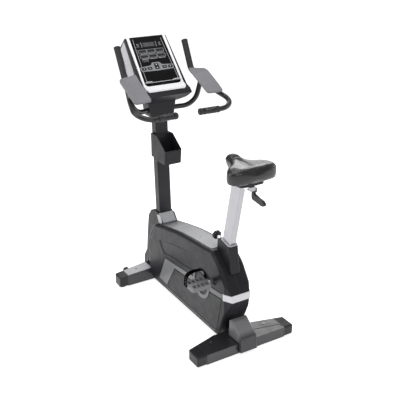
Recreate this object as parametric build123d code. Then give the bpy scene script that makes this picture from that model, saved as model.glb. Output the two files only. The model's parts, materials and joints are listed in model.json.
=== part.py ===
from build123d import *
import os
from math import cos, radians, sin

# Upright exercise bike, in millimetres.
# +Z is up and z = 0 is the floor. The rider faces -Y, so the console is at -Y and the saddle at +Y.
# +X is the rider's left. The origin is on the floor under the middle of the bike.

# ---------------------------------------------------------------- driving dimensions
GAP = 0.3                      # air between faces of pieces that move past each other
SHAFT_FIT = 0.05               # radial clearance of a running shaft
WALL = 3.0                     # wall of the plastic covers

FOOT_R = 23.0
FOOT_H = 5.0
FOOT_STUD_R = 5.0

FRONT_HALF = 283.0             # half length of the front base bar
FRONT_CAP = 26.0
FRONT_BACK_Y = -396.0
FRONT_END_Y = -467.0
FRONT_MID_Y = -490.0
FRONT_MID_X = 66.0
FRONT_TOP_END = 70.0
FRONT_TOP_MID = 82.0
WHEEL_X = 190.0                # transport wheels, held in front of the front bar
WHEEL_Y = -507.0
WHEEL_Z = 40.0
WHEEL_R = 27.0
WHEEL_AXLE_R = 5.0

REAR_HALF = 296.0              # half length of the rear base bar
REAR_CAP = 34.0
REAR_FRONT_Y = 382.0
REAR_END_Y = 428.0              # front edge of the rear bar at its ends
REAR_MID_X = 121.0
REAR_BACK_Y = 514.0
REAR_TOP = 63.0

BAR_WALL = 3.0
REAR_CHAMFER = 7.0              # along the side edges of the rear cover
RECESS_D = 1.5                 # depth of the shallow recesses on top of the rear bar
SPINE_W = 50.0
SPINE_Z = (20.0, 70.0)

SIDE_X = 75.0                  # half width of the drive cover
TOP_ROUND = 16.0
POCKET_D = 4.0                 # depth of the side recess
RING_R = 80.0                  # trim ring round the crank, thicker below than above
RING_HOLE_R = 66.0
RING_HOLE_RISE = 8.0

NOSE_X = 48.0                  # half width of the nose cover in front of the mast

CRANK_Y = 190.0
CRANK_Z = 262.0
CRANK_LEN = 170.0
CRANK_ANGLE = 34.0             # left crank above the rearward horizontal
AXLE_R = 10.0
AXLE_HALF = 100.0
ARM_X = (84.0, 100.0)
ARM_TIP_X = (99.0, 115.0)
SPINDLE_R = 6.5
PEDAL_X = (128.0, 238.0)
PEDAL_DEPTH = 92.0

PULLEY_R = 105.0
PULLEY_X = (40.0, 56.0)
FLY_Y = -168.0
FLY_Z = 216.0
FLY_R = 122.0
FLY_X = (-22.0, 2.0)
FLY_PULLEY_R = 21.0
FLY_AXLE_R = 8.0
BELT_T = 3.0

POST_TILT = 12.2               # lean of the seat post from vertical, towards the rear
POST_TOP_Y = 334.0             # point on the post axis where it leaves its sleeve
POST_TOP_Z = 555.5
POST_X = 40.0
POST_Y = 68.0
POST_CORNER = 6.0
POST_WALL = 3.0
POST_UP = 346.0
POST_DOWN = 262.0
SLEEVE_WALL = 3.0
TUBE_WALL = 2.5

MAST_LEAN = 2.92               # lean of the mast from vertical, towards the front
MAST_Y = -360.0                # mast axis at height MAST_AT
MAST_AT = 496.0
MAST_X = 78.0
MAST_DEPTH = 52.0
MAST_CORNER = 6.0
MAST_TOP = 1046.0

PIN_S = -36.0                  # place of the pull pin along the post axis
PIN_R = 5.0
KNOB_R = 25.0
KNOB_AT = 112.0                # knob distance in front of the post axis
GROOVE_D = 4.5                 # depth of the groove that carries the post holes
FLUTE_X = 8.0                  # places of the two shallow flutes on the back of the post
FLUTE_R = 2.5

SADDLE_Z = 944.0
RAIL_TOP = 912.0
SADDLE_PAN_Z = RAIL_TOP + 9
LEVER_X = (-30.0, -16.0)
LEVER_Y = 497.0
LEVER_Z = RAIL_TOP - 28
LEVER_HUB_R = 9.0
LEVER_PIVOT_R = 4.0

BAR_R = 14.0                   # handlebar tube radius
BAR_T = 2.5
GRIP_R = 16.5
GRIP_RUN = 58.0                # length of horn grip beyond the bend
CROSS_Y = -386.0
CROSS_Z = 1069.0
CLAMP_X = 48.0
CROSS_RADII = [100, 60, 60, 100]
RAIL_RADII = [60, 200, 80]
PAD_SLOPE = 25.6
PAD_MID = (212.0, -248.0, 1235.0)

FACE_TILT = 41.8               # console face from vertical
FACE_Y = -424.0                # middle of the console panel
FACE_Z = 1329.0
PANEL_TOP_W = 102.0
PANEL_LOW_W = 111.0
PANEL_LOW = -150.0
PANEL_HIGH = 157.0
BEZEL_X = 121.0
BEZEL_D = 4.0
SHELL_X = 142.0
KEY_W = 26.0
KEY_H = 16.0
DISPLAY_AT = 105.0
DISPLAY_W = 76.0
DISPLAY_H = 31.0
KEY_NAMES = ["key_level_down", "key_level_up", "key_start", "key_stop", "key_mode", "key_enter"]
KEY_PLACES = [(-80, -42), (-45, -41), (0, -23), (0, -42), (45, -41), (80, -42)]

# ---------------------------------------------------------------- working planes
post_plane = Plane(
    origin=(0, POST_TOP_Y, POST_TOP_Z),
    x_dir=(1, 0, 0),
    z_dir=(0, sin(radians(POST_TILT)), cos(radians(POST_TILT))),
)
mast_plane = Plane(
    origin=(0, MAST_Y, MAST_AT),
    x_dir=(1, 0, 0),
    z_dir=(0, -sin(radians(MAST_LEAN)), cos(radians(MAST_LEAN))),
)
# Console face: local x runs to the rider's right, local y up the face, local z out of it.
face_plane = Plane(
    origin=(0, FACE_Y, FACE_Z),
    x_dir=(-1, 0, 0),
    z_dir=(0, cos(radians(FACE_TILT)), sin(radians(FACE_TILT))),
)
parts = {}


# ---------------------------------------------------------------- helpers
def side_outline(points):
    """Face in the YZ plane from (y, z) corners."""
    return make_face(Polyline([(0, y, z) for y, z in points], close=True))


def side_slab(points, x_from, x_to):
    """Outline of (y, z) corners filled from x_from to x_to."""
    face = Pos(x_from, 0, 0) * side_outline(points)
    return extrude(face, amount=x_to - x_from, dir=(1, 0, 0))


def plan_slab(points, z_from, z_to):
    """Outline of (x, y) corners filled from z_from to z_to."""
    face = make_face(Polyline([(x, y, z_from) for x, y in points], close=True))
    return extrude(face, amount=z_to - z_from, dir=(0, 0, 1))


def front_slab(points, y_from, y_to):
    """Outline of (x, z) corners filled from y_from to y_to."""
    face = make_face(Polyline([(x, y_from, z) for x, z in points], close=True))
    return extrude(face, amount=y_to - y_from, dir=(0, 1, 0))


def block(x, y, z):
    """Box from three (low, high) pairs."""
    size = (x[1] - x[0], y[1] - y[0], z[1] - z[0])
    corner = Pos(x[0], y[0], z[0])
    return corner * Box(*size, align=(Align.MIN, Align.MIN, Align.MIN))


def cross_disc(radius, x_from, x_to, y, z):
    """Cylinder along X."""
    body = Cylinder(radius, x_to - x_from, align=(Align.CENTER, Align.CENTER, Align.MIN))
    return Pos(x_from, y, z) * Rot(0, 90, 0) * body


def cross_ring(outer, inner, x_from, x_to, y, z):
    """Ring along X."""
    return cross_disc(outer, x_from, x_to, y, z) - cross_disc(inner, x_from - 1, x_to + 1, y, z)


def upright(radius, z_from, z_to, x, y):
    """Cylinder along Z."""
    body = Cylinder(radius, z_to - z_from, align=(Align.CENTER, Align.CENTER, Align.MIN))
    return Pos(x, y, z_from) * body


def flip(shape):
    """The same piece on the other side of the bike."""
    return mirror(shape, about=Plane.YZ)


def both_sides(shape):
    """A piece and its mirror image as one group."""
    return Compound(children=[*shape.solids(), *flip(shape).solids()])


def long_edges(shape, axis):
    """Edges that run along an axis."""
    return shape.edges().filter_by(axis)


def bent_tube(points, radii, outer, inner):
    """Round tube along straight runs joined by arcs."""
    path = FilletPolyline(*points, radius=radii)
    start = Plane(origin=path @ 0, z_dir=path % 0)
    ring = start * (Circle(outer) - Circle(inner))
    return sweep(ring, path=path)


def solid_tube(points, radii, outer):
    """Filled round bar along straight runs joined by arcs."""
    path = FilletPolyline(*points, radius=radii)
    return sweep(Plane(origin=path @ 0, z_dir=path % 0) * Circle(outer), path=path)


def keep(name, shape):
    parts[name] = shape


# ---------------------------------------------------------------- base
def front_bar_form(inset):
    """Tapered bar: deeper and taller in the middle, drawn smaller by inset."""
    low = FOOT_H + 1 + inset
    plan = plan_slab(
        [
            (-FRONT_HALF, FRONT_BACK_Y - inset), (FRONT_HALF, FRONT_BACK_Y - inset),
            (FRONT_HALF, FRONT_END_Y + inset), (FRONT_MID_X, FRONT_MID_Y + inset),
            (-FRONT_MID_X, FRONT_MID_Y + inset), (-FRONT_HALF, FRONT_END_Y + inset),
        ],
        low, FRONT_TOP_MID,
    )
    rise = front_slab(
        [
            (-FRONT_HALF, low), (FRONT_HALF, low), (FRONT_HALF, FRONT_TOP_END - inset),
            (FRONT_MID_X, FRONT_TOP_MID - inset), (-FRONT_MID_X, FRONT_TOP_MID - inset),
            (-FRONT_HALF, FRONT_TOP_END - inset),
        ],
        FRONT_MID_Y, FRONT_BACK_Y,
    )
    return plan & rise


def rear_bar_form(inset):
    """Flat-topped bar, deepest in the middle, drawn smaller by inset."""
    half = [
        (REAR_MID_X, REAR_FRONT_Y + inset), (REAR_HALF, REAR_END_Y + inset),
        (REAR_HALF, REAR_BACK_Y - inset),
    ]
    other = [(-x, y) for x, y in reversed(half)]
    return plan_slab(half + other, FOOT_H + 1 + inset, REAR_TOP - inset)


front_foot_xy = [(s * (FRONT_HALF - 28), -430) for s in (-1, 1)]
rear_foot_xy = [(s * (REAR_HALF - 30), 466) for s in (-1, 1)]


def bar_with_caps(form, cap_length, half, foot_xy):
    """Hollow steel bar between two moulded end caps, with tapped holes for the feet."""
    outer = form(0)
    tube = outer - form(BAR_WALL)
    middle = block((-half + cap_length, half - cap_length), (-600, 600), (0, 120))
    tube = tube & middle
    end_zone = block((half - cap_length, half), (-600, 600), (0, 120))
    cap = outer & end_zone
    cap = fillet(cap.edges().filter_by(Axis.X), 8)
    cap = fillet(cap.faces().sort_by(Axis.X)[-1].edges(), 7)
    for x, y in foot_xy:
        if x > 0:
            cap -= upright(FOOT_STUD_R + 0.1, 0, 40, x, y)
    return tube, cap


def build_base():
    front_tube, front_cap = bar_with_caps(front_bar_form, FRONT_CAP + 26, FRONT_HALF, front_foot_xy)
    rear_tube, rear_cap = bar_with_caps(rear_bar_form, REAR_CAP + 22, REAR_HALF, rear_foot_xy)
    for x_side in (-1, 1):
        fork_x = x_side * WHEEL_X
        for plate_x in (fork_x - 15, fork_x + 12):
            plate = block((plate_x, plate_x + 3), (WHEEL_Y - 12, FRONT_END_Y - 2), (26, 54))
            front_tube += plate - front_bar_form(0)
        front_tube += cross_disc(WHEEL_AXLE_R, fork_x - 15, fork_x + 15, WHEEL_Y, WHEEL_Z)
    for x_side in (-1, 1):
        recess = [(75, 440), (236, 474), (236, 497), (75, 497)]
        recess = [(x_side * x, y) for x, y in recess]
        rear_tube -= plan_slab(recess, REAR_TOP - RECESS_D, REAR_TOP + 1)
    keep("front_base_bar", front_tube)
    keep("rear_base_bar", rear_tube)
    caps = [*both_sides(front_cap).solids(), *both_sides(rear_cap).solids()]
    keep("base_end_caps", Compound(children=caps))
    feet = []
    for x, y in front_foot_xy + rear_foot_xy:
        foot = upright(FOOT_R, 0, FOOT_H, x, y)
        foot = fillet(foot.edges().sort_by(Axis.Z)[-1], 2)
        foot += upright(FOOT_STUD_R, FOOT_H - 1, FOOT_H + 26, x, y)
        feet.append(foot)
    keep("levelling_feet", Compound(children=[f.solid() for f in feet]))


def build_transport_wheels():
    for name, x_side in (("left", 1), ("right", -1)):
        x = x_side * WHEEL_X
        wheel = cross_ring(WHEEL_R, WHEEL_AXLE_R + SHAFT_FIT, x - 11, x + 11, WHEEL_Y, WHEEL_Z)
        rim_edges = wheel.edges().filter_by(GeomType.CIRCLE)
        wheel = fillet([e for e in rim_edges if e.radius > WHEEL_R - 1], 4)
        keep("transport_wheel_" + name, wheel)


# ---------------------------------------------------------------- frame
def rect_tube(width, depth, wall, low, high, corner):
    """Rounded rectangular tube along local Z, centred on the axis."""
    outer = RectangleRounded(width, depth, corner)
    inner = RectangleRounded(width - 2 * wall, depth - 2 * wall, max(corner - wall, 1))
    return Pos(0, 0, low) * extrude(outer - inner, amount=high - low)


def post_form(grow, low, high, hollow=0.0):
    """Rounded rectangular section of the seat post, grown outward by grow."""
    outer = RectangleRounded(POST_X + 2 * grow, POST_Y + 2 * grow, POST_CORNER + grow)
    body = Pos(0, 0, low) * extrude(outer, amount=high - low)
    if hollow:
        inner = RectangleRounded(POST_X - 2 * hollow, POST_Y - 2 * hollow, POST_CORNER - hollow)
        body -= Pos(0, 0, low - 1) * extrude(inner, amount=high - low + 2)
    return body


def build_frame():
    spine = block((-SPINE_W / 2, SPINE_W / 2), (FRONT_BACK_Y, REAR_FRONT_Y), SPINE_Z)
    spine -= block(
        (-SPINE_W / 2 + 3, SPINE_W / 2 - 3), (FRONT_BACK_Y - 1, REAR_FRONT_Y + 8),
        (SPINE_Z[0] + 3, SPINE_Z[1] - 3),
    )
    spine -= rear_bar_form(0)
    keep("spine_beam", spine)

    above_spine = block((-100, 100), (-600, 600), (SPINE_Z[1], 1300))
    tube_out = post_form(GAP + SLEEVE_WALL + TUBE_WALL, -560, -14)
    tube_in = post_form(GAP + SLEEVE_WALL, -600, 0)
    seat_tube = post_plane * (tube_out - tube_in)
    seat_tube = seat_tube & above_spine
    pin_hole = post_plane * (Pos(0, -60, PIN_S) * Rot(90, 0, 0) * Cylinder(PIN_R + 1, 80))
    seat_tube -= pin_hole
    keep("seat_tube", seat_tube)

    sleeve = post_form(GAP + SLEEVE_WALL, -130, -4) - post_form(GAP, -140, 0)
    flange = post_form(GAP + SLEEVE_WALL + 5, -4, 0) - post_form(GAP, -6, 2)
    sleeve = post_plane * (sleeve + flange) - pin_hole
    keep("seat_sleeve", sleeve)

    mast = rect_tube(MAST_X, MAST_DEPTH, 3, -560, 700, MAST_CORNER)
    mast = mast_plane * mast
    mast = mast & block((-100, 100), (-600, 0), (SPINE_Z[1], MAST_TOP))
    head = block((-32, 32), (CROSS_Y - 26, CROSS_Y + 26), (MAST_TOP - 6, 1110))
    head = fillet(long_edges(head, Axis.X), 8)
    mast = mast - head + head
    mast -= cross_disc(BAR_R + 0.1, -60, 60, CROSS_Y, CROSS_Z)
    keep("mast", mast)

    shell = cross_ring(31, 26, -58, 34, CRANK_Y, CRANK_Z)
    stand = block((-20, 20), (CRANK_Y - 24, CRANK_Y + 22), (SPINE_Z[1], CRANK_Z))
    stand -= block((-17, 17), (CRANK_Y - 21, CRANK_Y + 19), (SPINE_Z[1] - 1, CRANK_Z))
    stand -= cross_disc(31, -60, 60, CRANK_Y, CRANK_Z)
    stand -= tube_out_world()
    keep("crank_shell", shell + stand)
    bearings = [
        cross_ring(26, AXLE_R + SHAFT_FIT, x, x + 12, CRANK_Y, CRANK_Z).solid() for x in (-58, 22)
    ]
    keep("crank_bearings", Compound(children=bearings))


def tube_out_world():
    return post_plane * post_form(GAP + SLEEVE_WALL + TUBE_WALL + 0.5, -560, -14)


# ---------------------------------------------------------------- drive
def build_drive():
    axle = cross_disc(AXLE_R, -ARM_X[1] - 2, ARM_X[1] + 2, CRANK_Y, CRANK_Z)
    keep("crank_axle", axle)

    pulley = cross_disc(PULLEY_R, PULLEY_X[0], PULLEY_X[1], CRANK_Y, CRANK_Z)
    for x_low, x_high in ((PULLEY_X[0] - 1, PULLEY_X[0] + 5), (PULLEY_X[1] - 5, PULLEY_X[1] + 1)):
        pulley -= cross_ring(PULLEY_R - 12, 30, x_low, x_high, CRANK_Y, CRANK_Z)
    pulley -= cross_disc(AXLE_R, 0, 80, CRANK_Y, CRANK_Z)
    for turn in range(6):
        angle = radians(60 * turn)
        hole_y = CRANK_Y + 61 * cos(angle)
        hole_z = CRANK_Z + 61 * sin(angle)
        pulley -= cross_disc(18, 30, 70, hole_y, hole_z)
    keep("drive_pulley", pulley)

    wheel = cross_ring(FLY_R, FLY_AXLE_R + SHAFT_FIT, FLY_X[0], FLY_X[1], FLY_Y, FLY_Z)
    for x_low, x_high in ((FLY_X[0] - 1, FLY_X[0] + 7), (FLY_X[1] - 7, FLY_X[1] + 1)):
        wheel -= cross_ring(FLY_R - 24, 34, x_low, x_high, FLY_Y, FLY_Z)
    wheel += cross_ring(15, FLY_AXLE_R + SHAFT_FIT, FLY_X[1], PULLEY_X[0], FLY_Y, FLY_Z)
    wheel += cross_ring(FLY_PULLEY_R, FLY_AXLE_R + SHAFT_FIT, *PULLEY_X, FLY_Y, FLY_Z)
    keep("flywheel", wheel)

    stand = cross_disc(FLY_AXLE_R, -44, 66, FLY_Y, FLY_Z)
    for x_low in (-44, 60):
        cheek = block((x_low, x_low + 6), (FLY_Y - 22, FLY_Y + 22), (SPINE_Z[1], FLY_Z + 20))
        cheek -= cross_disc(FLY_AXLE_R, -60, 80, FLY_Y, FLY_Z)
        stand += cheek
    for y_low in (FLY_Y - 22, FLY_Y + 16):
        stand += block((-44, 66), (y_low, y_low + 6), (SPINE_Z[1], SPINE_Z[1] + 4))
    keep("flywheel_stand", stand)

    magnet_arc = cross_ring(FLY_R + 34, FLY_R - 18, FLY_X[0] - 12, FLY_X[1] + 12, FLY_Y, FLY_Z)
    magnet_arc -= cross_disc(FLY_R + 3, FLY_X[0] - 3, FLY_X[1] + 3, FLY_Y, FLY_Z)
    sector = side_slab(
        [(FLY_Y, FLY_Z), (FLY_Y - 95, FLY_Z + 220), (FLY_Y + 95, FLY_Z + 220)], -60, 60
    )
    keep("brake_unit", magnet_arc & sector)

    def belt_loop(grow):
        big = Pos(CRANK_Y, CRANK_Z) * Circle(PULLEY_R + grow)
        small = Pos(FLY_Y, FLY_Z) * Circle(FLY_PULLEY_R + grow)
        return make_hull(big.edges() + small.edges())

    loop = belt_loop(GAP + BELT_T) - belt_loop(GAP)
    belt_place = Plane(origin=(PULLEY_X[0] + 2, 0, 0), x_dir=(0, 1, 0), z_dir=(1, 0, 0))
    keep("drive_belt", belt_place * extrude(loop, amount=PULLEY_X[1] - PULLEY_X[0] - 4))


def crank_arm():
    """Left crank arm lying along +Y from the axle, before it is turned to its angle."""
    side = [
        (-17, ARM_X[0]), (34, ARM_X[0]), (136, ARM_TIP_X[0]), (CRANK_LEN + 17, ARM_TIP_X[0]),
        (CRANK_LEN + 17, ARM_TIP_X[1]), (128, ARM_TIP_X[1]), (26, ARM_X[1]), (-17, ARM_X[1]),
    ]
    form = make_face(Polyline([(x, r, -20) for r, x in side], close=True))
    form = extrude(form, amount=40, dir=(0, 0, 1))
    hub = cross_disc(17, 80, 120, 0, 0)
    eye = cross_disc(14, 80, 120, CRANK_LEN, 0)
    web = side_slab([(0, -15), (CRANK_LEN, -12), (CRANK_LEN, 12), (0, 15)], 80, 120)
    arm = form & (hub + eye + web)
    arm -= cross_disc(AXLE_R, 70, 130, 0, 0)
    arm -= cross_disc(SPINDLE_R, 70, 130, CRANK_LEN, 0)
    return arm


def turned(shape, angle):
    """Turn about the crank axis, starting from an arm that points at +Y."""
    return Pos(0, CRANK_Y, CRANK_Z) * Rot(angle, 0, 0) * shape


def spindle_place(side):
    angle = radians(CRANK_ANGLE)
    return CRANK_Y + side * CRANK_LEN * cos(angle), CRANK_Z + side * CRANK_LEN * sin(angle)


def build_cranks():
    arm = crank_arm()
    keep("crank_arm_left", turned(arm, CRANK_ANGLE))
    keep("crank_arm_right", turned(flip(arm), CRANK_ANGLE + 180))
    spindle = cross_disc(SPINDLE_R, ARM_TIP_X[0] - 2, ARM_TIP_X[1], CRANK_LEN, 0)
    spindle += cross_disc(10, ARM_TIP_X[1], ARM_TIP_X[1] + 6, CRANK_LEN, 0)
    spindle += cross_disc(SPINDLE_R, ARM_TIP_X[1] + 6, PEDAL_X[1] - 6, CRANK_LEN, 0)
    group = [
        turned(spindle, CRANK_ANGLE).solid(),
        turned(flip(spindle), CRANK_ANGLE + 180).solid(),
    ]
    keep("pedal_spindles", Compound(children=group))


def pedal_body(y, z):
    """Foot platform with a weighted belly that keeps it level."""
    half = PEDAL_DEPTH / 2
    deck = side_slab(
        [
            (y - half, z - 4), (y - half + 6, z - 12), (y + half - 6, z - 12), (y + half, z - 4),
            (y + half - 4, z + 12), (y - half + 4, z + 12),
        ],
        *PEDAL_X,
    )
    belly = side_slab(
        [(y - 26, z - 12), (y - 18, z - 27), (y + 18, z - 27), (y + 26, z - 12)],
        PEDAL_X[0] + 12, PEDAL_X[1] - 12,
    )
    body = deck + belly
    body -= cross_disc(SPINDLE_R + SHAFT_FIT, PEDAL_X[0] - 1, PEDAL_X[1] - 5, y, z)
    return body


def pedal_strap(y, z):
    """Band from one pedal edge over the toes to the other edge."""
    low = z + 12
    outer = front_slab(
        [
            (PEDAL_X[0] - 4, z - 6), (PEDAL_X[0] - 4, low + 26), (PEDAL_X[0] + 22, low + 58),
            (PEDAL_X[1] - 22, low + 58), (PEDAL_X[1] + 4, low + 26), (PEDAL_X[1] + 4, z - 6),
        ],
        y - 40, y - 10,
    )
    inner = front_slab(
        [
            (PEDAL_X[0], z - 8), (PEDAL_X[0], low + 24), (PEDAL_X[0] + 24, low + 54),
            (PEDAL_X[1] - 24, low + 54), (PEDAL_X[1], low + 24), (PEDAL_X[1], z - 8),
        ],
        y - 44, y - 4,
    )
    return outer - inner


def build_pedals():
    for name, side in (("left", 1), ("right", -1)):
        y, z = spindle_place(side)
        body = pedal_body(y, z)
        strap = pedal_strap(y, z)
        if side < 0:
            body = flip(body)
            strap = flip(strap)
        keep("pedal_" + name, body)
        keep("pedal_strap_" + name, strap)


# ---------------------------------------------------------------- seat
def build_seat():
    post = post_form(0, -POST_DOWN, POST_UP, hollow=POST_WALL)
    groove = block((-7, 7), (-POST_Y / 2 - 1, -POST_Y / 2 + GROOVE_D), (-POST_DOWN - 1, POST_UP + 1))
    web = block((-10, 10), (-POST_Y / 2 + 1, -POST_Y / 2 + GROOVE_D + 3), (-POST_DOWN, POST_UP))
    post = (post + web) - groove
    for flute_x in (-FLUTE_X, FLUTE_X):
        flute = Cylinder(FLUTE_R, POST_UP + POST_DOWN + 2)
        post -= Pos(flute_x, POST_Y / 2 + 1, (POST_UP - POST_DOWN) / 2) * flute
    for step in range(11):
        hole_s = -POST_DOWN + 26 + 22 * step
        post -= Pos(0, -POST_Y / 2 + 4, hole_s) * Rot(90, 0, 0) * Cylinder(PIN_R + 0.5, 20)
    post = post_plane * post
    rail = block((-15, 15), (384, 522), (RAIL_TOP - 20, RAIL_TOP))
    plug = block((-15, 15), (376, 436), (RAIL_TOP - 40, RAIL_TOP - 19))
    keep("seat_post", post + plug + rail)

    slider = block((-22, 22), (404, 506), (RAIL_TOP - 9, RAIL_TOP + 5))
    slider += block((-22, 22), (474, 506), (RAIL_TOP - 16, RAIL_TOP - 9))
    slider -= block((-15.5, 15.5), (400, 510), (0, RAIL_TOP + 0.5))
    slider += block((-50, 50), (398, 512), (RAIL_TOP + 5, RAIL_TOP + 9))
    lug = block((-34, 34), (LEVER_Y - 10, LEVER_Y + 15), (RAIL_TOP - 4, RAIL_TOP + 5))
    lug += block((-34, -30.5), (LEVER_Y - 10, LEVER_Y + 15), (LEVER_Z - 8, RAIL_TOP))
    slider += lug - block((-15.5, 15.5), (400, 530), (0, RAIL_TOP + 0.5))
    slider += cross_disc(LEVER_PIVOT_R, -31, LEVER_X[1], LEVER_Y, LEVER_Z)
    keep("saddle_slider", slider)

    pan = block((-72, 72), (404, 528), (SADDLE_PAN_Z, SADDLE_Z))
    keep("saddle_pan", fillet(long_edges(pan, Axis.Z), 30))
    keep("saddle_cushion", saddle_cushion())

    hub = cross_disc(LEVER_HUB_R, *LEVER_X, LEVER_Y, LEVER_Z)
    reach = [
        (-8, 0), (7, 0), (8, -16), (80, -28), (93, -38), (89, -51), (75, -54), (0, -46), (-7, -38),
    ]
    arm = side_slab([(LEVER_Y + y, LEVER_Z + z) for y, z in reach], *LEVER_X)
    lever = hub + arm - cross_disc(LEVER_PIVOT_R + SHAFT_FIT, -60, 0, LEVER_Y, LEVER_Z)
    keep("saddle_lever", lever)

    knob = Cylinder(KNOB_R, 18)
    knob = fillet(knob.edges(), 5)
    neck = Pos(0, 0, -14) * Cylinder(9, 14)
    tip_reach = KNOB_AT - POST_Y / 2 + GROOVE_D - 0.6
    pin = Pos(0, 0, -tip_reach / 2) * Cylinder(PIN_R, tip_reach)
    pull = Pos(0, -KNOB_AT, PIN_S) * Rot(90, 0, 0) * (knob + neck + pin)
    keep("pull_pin", post_plane * pull)


def saddle_form():
    """Plan form of the saddle: a wide rounded back and a narrow nose."""
    half = [
        (28, 325), (41, 346), (45, 380), (58, 406), (82, 432), (110, 463), (133, 500), (128, 528),
        (104, 548), (52, 559),
    ]
    right = [(-x, y) for x, y in reversed(half)]
    points = [(x, y, SADDLE_Z) for x, y in [(0, 316), *half, *right]]
    outline = Spline(points, periodic=True)
    return extrude(make_face(outline), amount=110, dir=(0, 0, 1))


def saddle_cushion():
    side = [
        (290, 970), (330, 958), (392, SADDLE_Z), (580, SADDLE_Z), (580, 968), (560, 996),
        (540, 1008), (490, 1011), (430, 1009), (395, 1015), (350, 1026), (318, 1022), (290, 1000),
    ]
    return saddle_form() & side_slab(side, -200, 200)


# ---------------------------------------------------------------- covers
cover_outline = [
    (-349, 32), (-418, 50), (-442, 106), (-430, 199), (-410, 269), (-374, 344), (-335, 398),
    (-306, 405), (-187, 432), (-46, 459), (86, 474), (212, 484), (283, 494), (302, 475),
    (334, 451), (360, 429), (383, 397), (408, 362), (445, 303), (450, 269), (352, 32),
]
boot_outline = [(266, 549), (290, 556), (374, 540), (397, 400), (256, 400)]


def cover_form(inset, half_width, rounding):
    """Closed drive cover form, drawn smaller by inset."""
    face = side_outline(cover_outline)
    if inset:
        face = offset(face, amount=-inset, kind=Kind.INTERSECTION)
    body = extrude(Pos(-half_width, 0, 0) * face, amount=2 * half_width, dir=(1, 0, 0))
    plan = plan_slab(
        [
            (-half_width, -412), (-56 + inset, -460), (56 - inset, -460), (half_width, -412),
            (half_width, 408), (50 - inset, 452 - inset), (-50 + inset, 452 - inset),
            (-half_width, 408),
        ],
        0, 600,
    )
    rim = [e for e in body.edges() if abs(abs(e.center().X) - half_width) < 0.5 and e.center().Z > 60]
    body = fillet(rim, rounding)
    return body & plan


def build_covers():
    outer = cover_form(0, SIDE_X, TOP_ROUND)
    inner = cover_form(WALL, SIDE_X - WALL, TOP_ROUND - WALL)
    for side in (-1, 1):
        outer -= side_pocket(side, 0.0)
        inner -= side_pocket(side, WALL)
    shell = outer - inner
    shell -= side_slab(boot_hole(), -28.5, 28.5)
    shell -= mast_envelope(1.0)
    shell -= block((-SPINE_W / 2 - 1, SPINE_W / 2 + 1), (-600, 600), (0, SPINE_Z[1] + 2))
    shell -= cross_disc(24, -200, 200, CRANK_Y, CRANK_Z)
    shell -= front_trench()
    left = shell & block((0, 200), (-700, 700), (0, 700))
    right = shell & block((-200, 0), (-700, 700), (0, 700))
    keep("shroud_left", left)
    keep("shroud_right", right)


def side_pocket(side, grow):
    """Long shallow recess in the side of the cover, clear of the crank ring."""
    outer = [
        (-285 - grow, 322), (-250, 340 + grow), (-41, 378 + grow), (136, 400 + grow),
        (252, 402 + grow), (309, 388 + grow), (345 + grow, 346), (330, 318 - grow),
        (-7, 280 - grow), (-81, 277 - grow), (-158, 268 - grow), (-227, 253 - grow),
        (-262 - grow, 282),
    ]
    floor = [
        (-268 - grow, 320), (-244, 333 + grow), (-40, 370 + grow), (136, 392 + grow),
        (250, 394 + grow), (302, 381 + grow), (332 + grow, 346), (322, 326 - grow),
        (-8, 288 - grow), (-82, 285 - grow), (-158, 276 - grow), (-222, 263 - grow),
        (-250 - grow, 286),
    ]
    high = SIDE_X + 0.5 - grow
    low = SIDE_X - POCKET_D - grow
    rims = []
    for outline, x in ((outer, high), (floor, low)):
        rims.append(Pos(side * x, 0, 0) * side_outline(outline))
    pocket = loft(rims, ruled=True)
    ring_room = cross_disc(RING_R + 4 - grow, -SIDE_X - 1, SIDE_X + 1, CRANK_Y, CRANK_Z)
    return pocket - ring_room


def boot_hole():
    return [(266, 560), (378, 560), (397.5, 396), (250, 396)]


def front_trench():
    """Room for the front bar under the nose of the cover."""
    return block((-300, 300), (-500, FRONT_BACK_Y + 1), (0, FRONT_TOP_MID + 1))


def build_trim():
    lift = SIDE_X + 2.5
    band = side_slab(
        [
            (-209, 232), (29, 257), (253, 282), (404, 299), (389, 272), (262, 256), (20, 230),
            (-101, 220), (-195, 68), (-286, 74),
        ],
        SIDE_X, lift,
    )
    ring = cross_disc(RING_R, SIDE_X, lift + 2.5, CRANK_Y, CRANK_Z)
    ring -= cross_disc(RING_HOLE_R, 0, 200, CRANK_Y, CRANK_Z + RING_HOLE_RISE)
    band -= cross_disc(RING_R - 1, 0, 200, CRANK_Y, CRANK_Z)
    side_piece = band + ring
    low_panel = side_slab(
        [(-186, 66), (-97, 212), (20, 222), (262, 248), (384, 262), (340, 52), (-186, 52)],
        SIDE_X, SIDE_X + 1.5,
    )
    low_panel -= cross_disc(RING_R + 1, 0, 200, CRANK_Y, CRANK_Z)
    keep("lower_panels", both_sides(low_panel))

    rear_zone = [(398, 268), (470, 268), (470, 304), (398, 304)]
    wrap_out = cover_form(-3, SIDE_X + 3, TOP_ROUND)
    wrap = (wrap_out & side_slab(rear_zone, -100, 100)) - cover_form(0, SIDE_X, TOP_ROUND)
    wrap -= both_sides(side_piece)
    pieces = [*both_sides(side_piece).solids(), *wrap.solids()]
    keep("side_bands", Compound(children=pieces))

    top = [(-292, 408.3), (-187, 432), (-46, 459), (86, 474), (212, 484), (252, 489.4)]
    lifted = [(y, z + 2.5) for y, z in reversed(top)]
    strip = side_slab(top + lifted, -52, 52)
    strip -= block((-60, 60), (-128.6, -127.4), (400, 500))
    strip -= cover_form(0, SIDE_X, TOP_ROUND)
    keep("top_strips", strip)


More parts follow.
